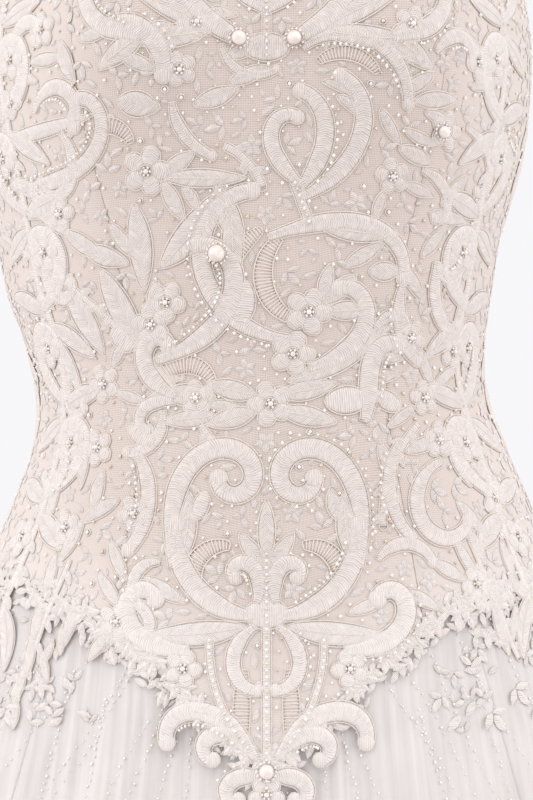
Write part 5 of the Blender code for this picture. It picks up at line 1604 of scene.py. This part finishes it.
# %% [markdown]
# ## Strands of tiny beads on the skirt
#
# From under the lace, thin strands of beads run down and outwards over the net, like water, and fade
# out below the hips. Each row of the table is one strand. Its beads stand 3 to 8 mm apart, closest at
# the top, and sway a little from side to side on the folded net itself.

# %% Strands of tiny beads on the skirt
# Columns: angle in degrees and height in mm at the top, the same at the bottom, sway in degrees
STRANDS = [
    (-21, -148, -36, -225, 1.0),
    (-17, -160, -27, -330, 1.2),
    (-14, -172, -20, -300, -0.8),
    (-24, -140, -45, -290, 1.4),
    (-12, -182, -13, -340, 0.6),
    (-30, -128, -52, -260, 1.3),
    (-38, -118, -60, -300, -1.2),
    (-26, -165, -31, -360, 0.9),
    (-18, -175, -31, -260, -1.0),
    (-33, -150, -40, -380, 1.1),
    (-45, -120, -56, -240, 1.0),
    (18, -145, 31, -222, 1.0),
    (14, -165, 23, -330, -1.1),
    (12, -178, 15, -320, 0.7),
    (22, -140, 39, -270, -1.3),
    (27, -132, 47, -300, 1.2),
    (34, -122, 56, -280, 1.1),
    (20, -160, 35, -240, 0.8),
    (42, -116, 64, -300, -1.2),
    (25, -170, 29, -360, 0.9),
    (37, -140, 44, -380, -1.0),
    (3, -205, 2, -340, 0.5),
    (-5, -205, -8, -300, -0.7),
    (8, -195, 9, -380, 0.6),
    (52, -116, 70, -250, 1.0),
    (-54, -116, -72, -250, 1.0),
]
for turn in range(66, 300, 13):
    STRANDS.append((turn, -112, turn + 5 * math.sin(turn), -250 - (turn * 7) % 90, 1.2))

strand_at, strand_out, strand_size = [], [], []
for top_angle, top, end_angle, end, sway in STRANDS:
    count = int(abs(end - top) / 3.9)
    u = np.linspace(0, 1, count) ** 1.15
    jitter = random.uniform(-1, 1, (2, count))
    degrees = top_angle + (end_angle - top_angle) * u + sway * np.sin(5.2 * u + top_angle)
    angle = np.radians(degrees + 0.22 * jitter[0])
    height = (top + (end - top) * u + 0.8 * jitter[1]) * MM
    keep = height < seam_height(angle) - 3 * MM
    on_net = moved_out(net_point, angle, height, 0 * angle)[keep]
    above = moved_out(net_point, angle, height, 0 * angle + MM)[keep]
    strand_at.append(on_net)
    strand_out.append((above - on_net) / MM)
    strand_size.append(random.uniform(0.45, 0.85, count)[keep] * (1.1 - 0.35 * u[keep]) * MM)
strand_at, strand_out = np.concatenate(strand_at), np.concatenate(strand_out)
add_beads("skirt_bead_strands", strand_at, strand_out, np.concatenate(strand_size), clear_glass, 5, 3)

# %% [markdown]
# ## The zip
#
# A closed invisible zip: two rows of nylon coil on a narrow woven tape behind the middle back seam. The
# coil lies on the inner side of the tape, one small turn every 1.7 mm. Only the slider and its pull tab
# show from outside, and those two keep their own solids.

# %% The zip
zip_rows = 90
height = np.linspace(-0.180, 0.124, zip_rows)[:, None]
across = np.linspace(-9.0, 9.0, 7)[None, :]
flat = np.stack(np.broadcast_arrays(across, height / MM), axis=-1).reshape(-1, 2)
table = angle_table(math.pi)
column, row = (flat[:, 0] - ACROSS[0]) / 2.0, (flat[:, 1] - LEVELS[0]) / 4.0
i, j = row.astype(int), column.astype(int)
s, t = row - i, column - j
angle = (table[i, j] * (1 - t) + table[i, j + 1] * t) * (1 - s) + (
    table[i + 1, j] * (1 - t) + table[i + 1, j + 1] * t
) * s
level = flat[:, 1] * MM
into = smooth((-0.058 - level) / 0.020)
inset = 2.6 * MM + (underskirt_inset(level) + 2.4 * MM - 2.6 * MM) * into
outer = moved_out(body_point, angle, level, -inset).reshape(zip_rows, 7, 3)
inner = moved_out(body_point, angle, level, -inset - 0.6 * MM).reshape(zip_rows, 7, 3)
points, faces = wall(outer, inner)
tape = add_piece("zip_tape_cloth", points, faces, woven_tape, cloth_uv(outer), ["zip_tape"])
coil_rows = 178
points, faces = ball(6, 3)
points = points * np.array([1.9, 0.75, 0.7]) * MM
coil_up = np.linspace(0.03, 0.97, coil_rows) * (zip_rows - 1)
low, high = inner[coil_up.astype(int), 3], inner[np.minimum(coil_up.astype(int) + 1, zip_rows - 1), 3]
coil_at = low + (high - low) * (coil_up % 1)[:, None] - [0, 0.8 * MM, 0]
both_rows = np.concatenate([coil_at + [1.5 * MM, 0, 0], coil_at - [1.5 * MM, 0, 0.85 * MM]])
placed = both_rows[:, None, :] + points[None]
starts = np.arange(len(both_rows))[:, None, None] * len(points)
add_piece("zip_coil", placed.reshape(-1, 3), (faces + starts).reshape(-1, 3), nylon_coil)
for name in ("zip_slider", "zip_pull"):
    for slot in bpy.data.objects[name].material_slots:
        slot.material = nickel

# %% [markdown]
# ## The floor

# %% The floor
turn = np.arange(96) * 2 * math.pi / 96
rim = np.stack([4.0 * np.cos(turn), 4.0 * np.sin(turn), 0 * turn - 1.096], axis=-1)
ground = bpy.data.meshes.new("floor")
ground.from_pydata(rim.tolist(), [], [list(range(96))])
ground.materials.append(matt_floor)
floor = bpy.data.objects.new("floor", ground)
scene.collection.objects.link(floor)
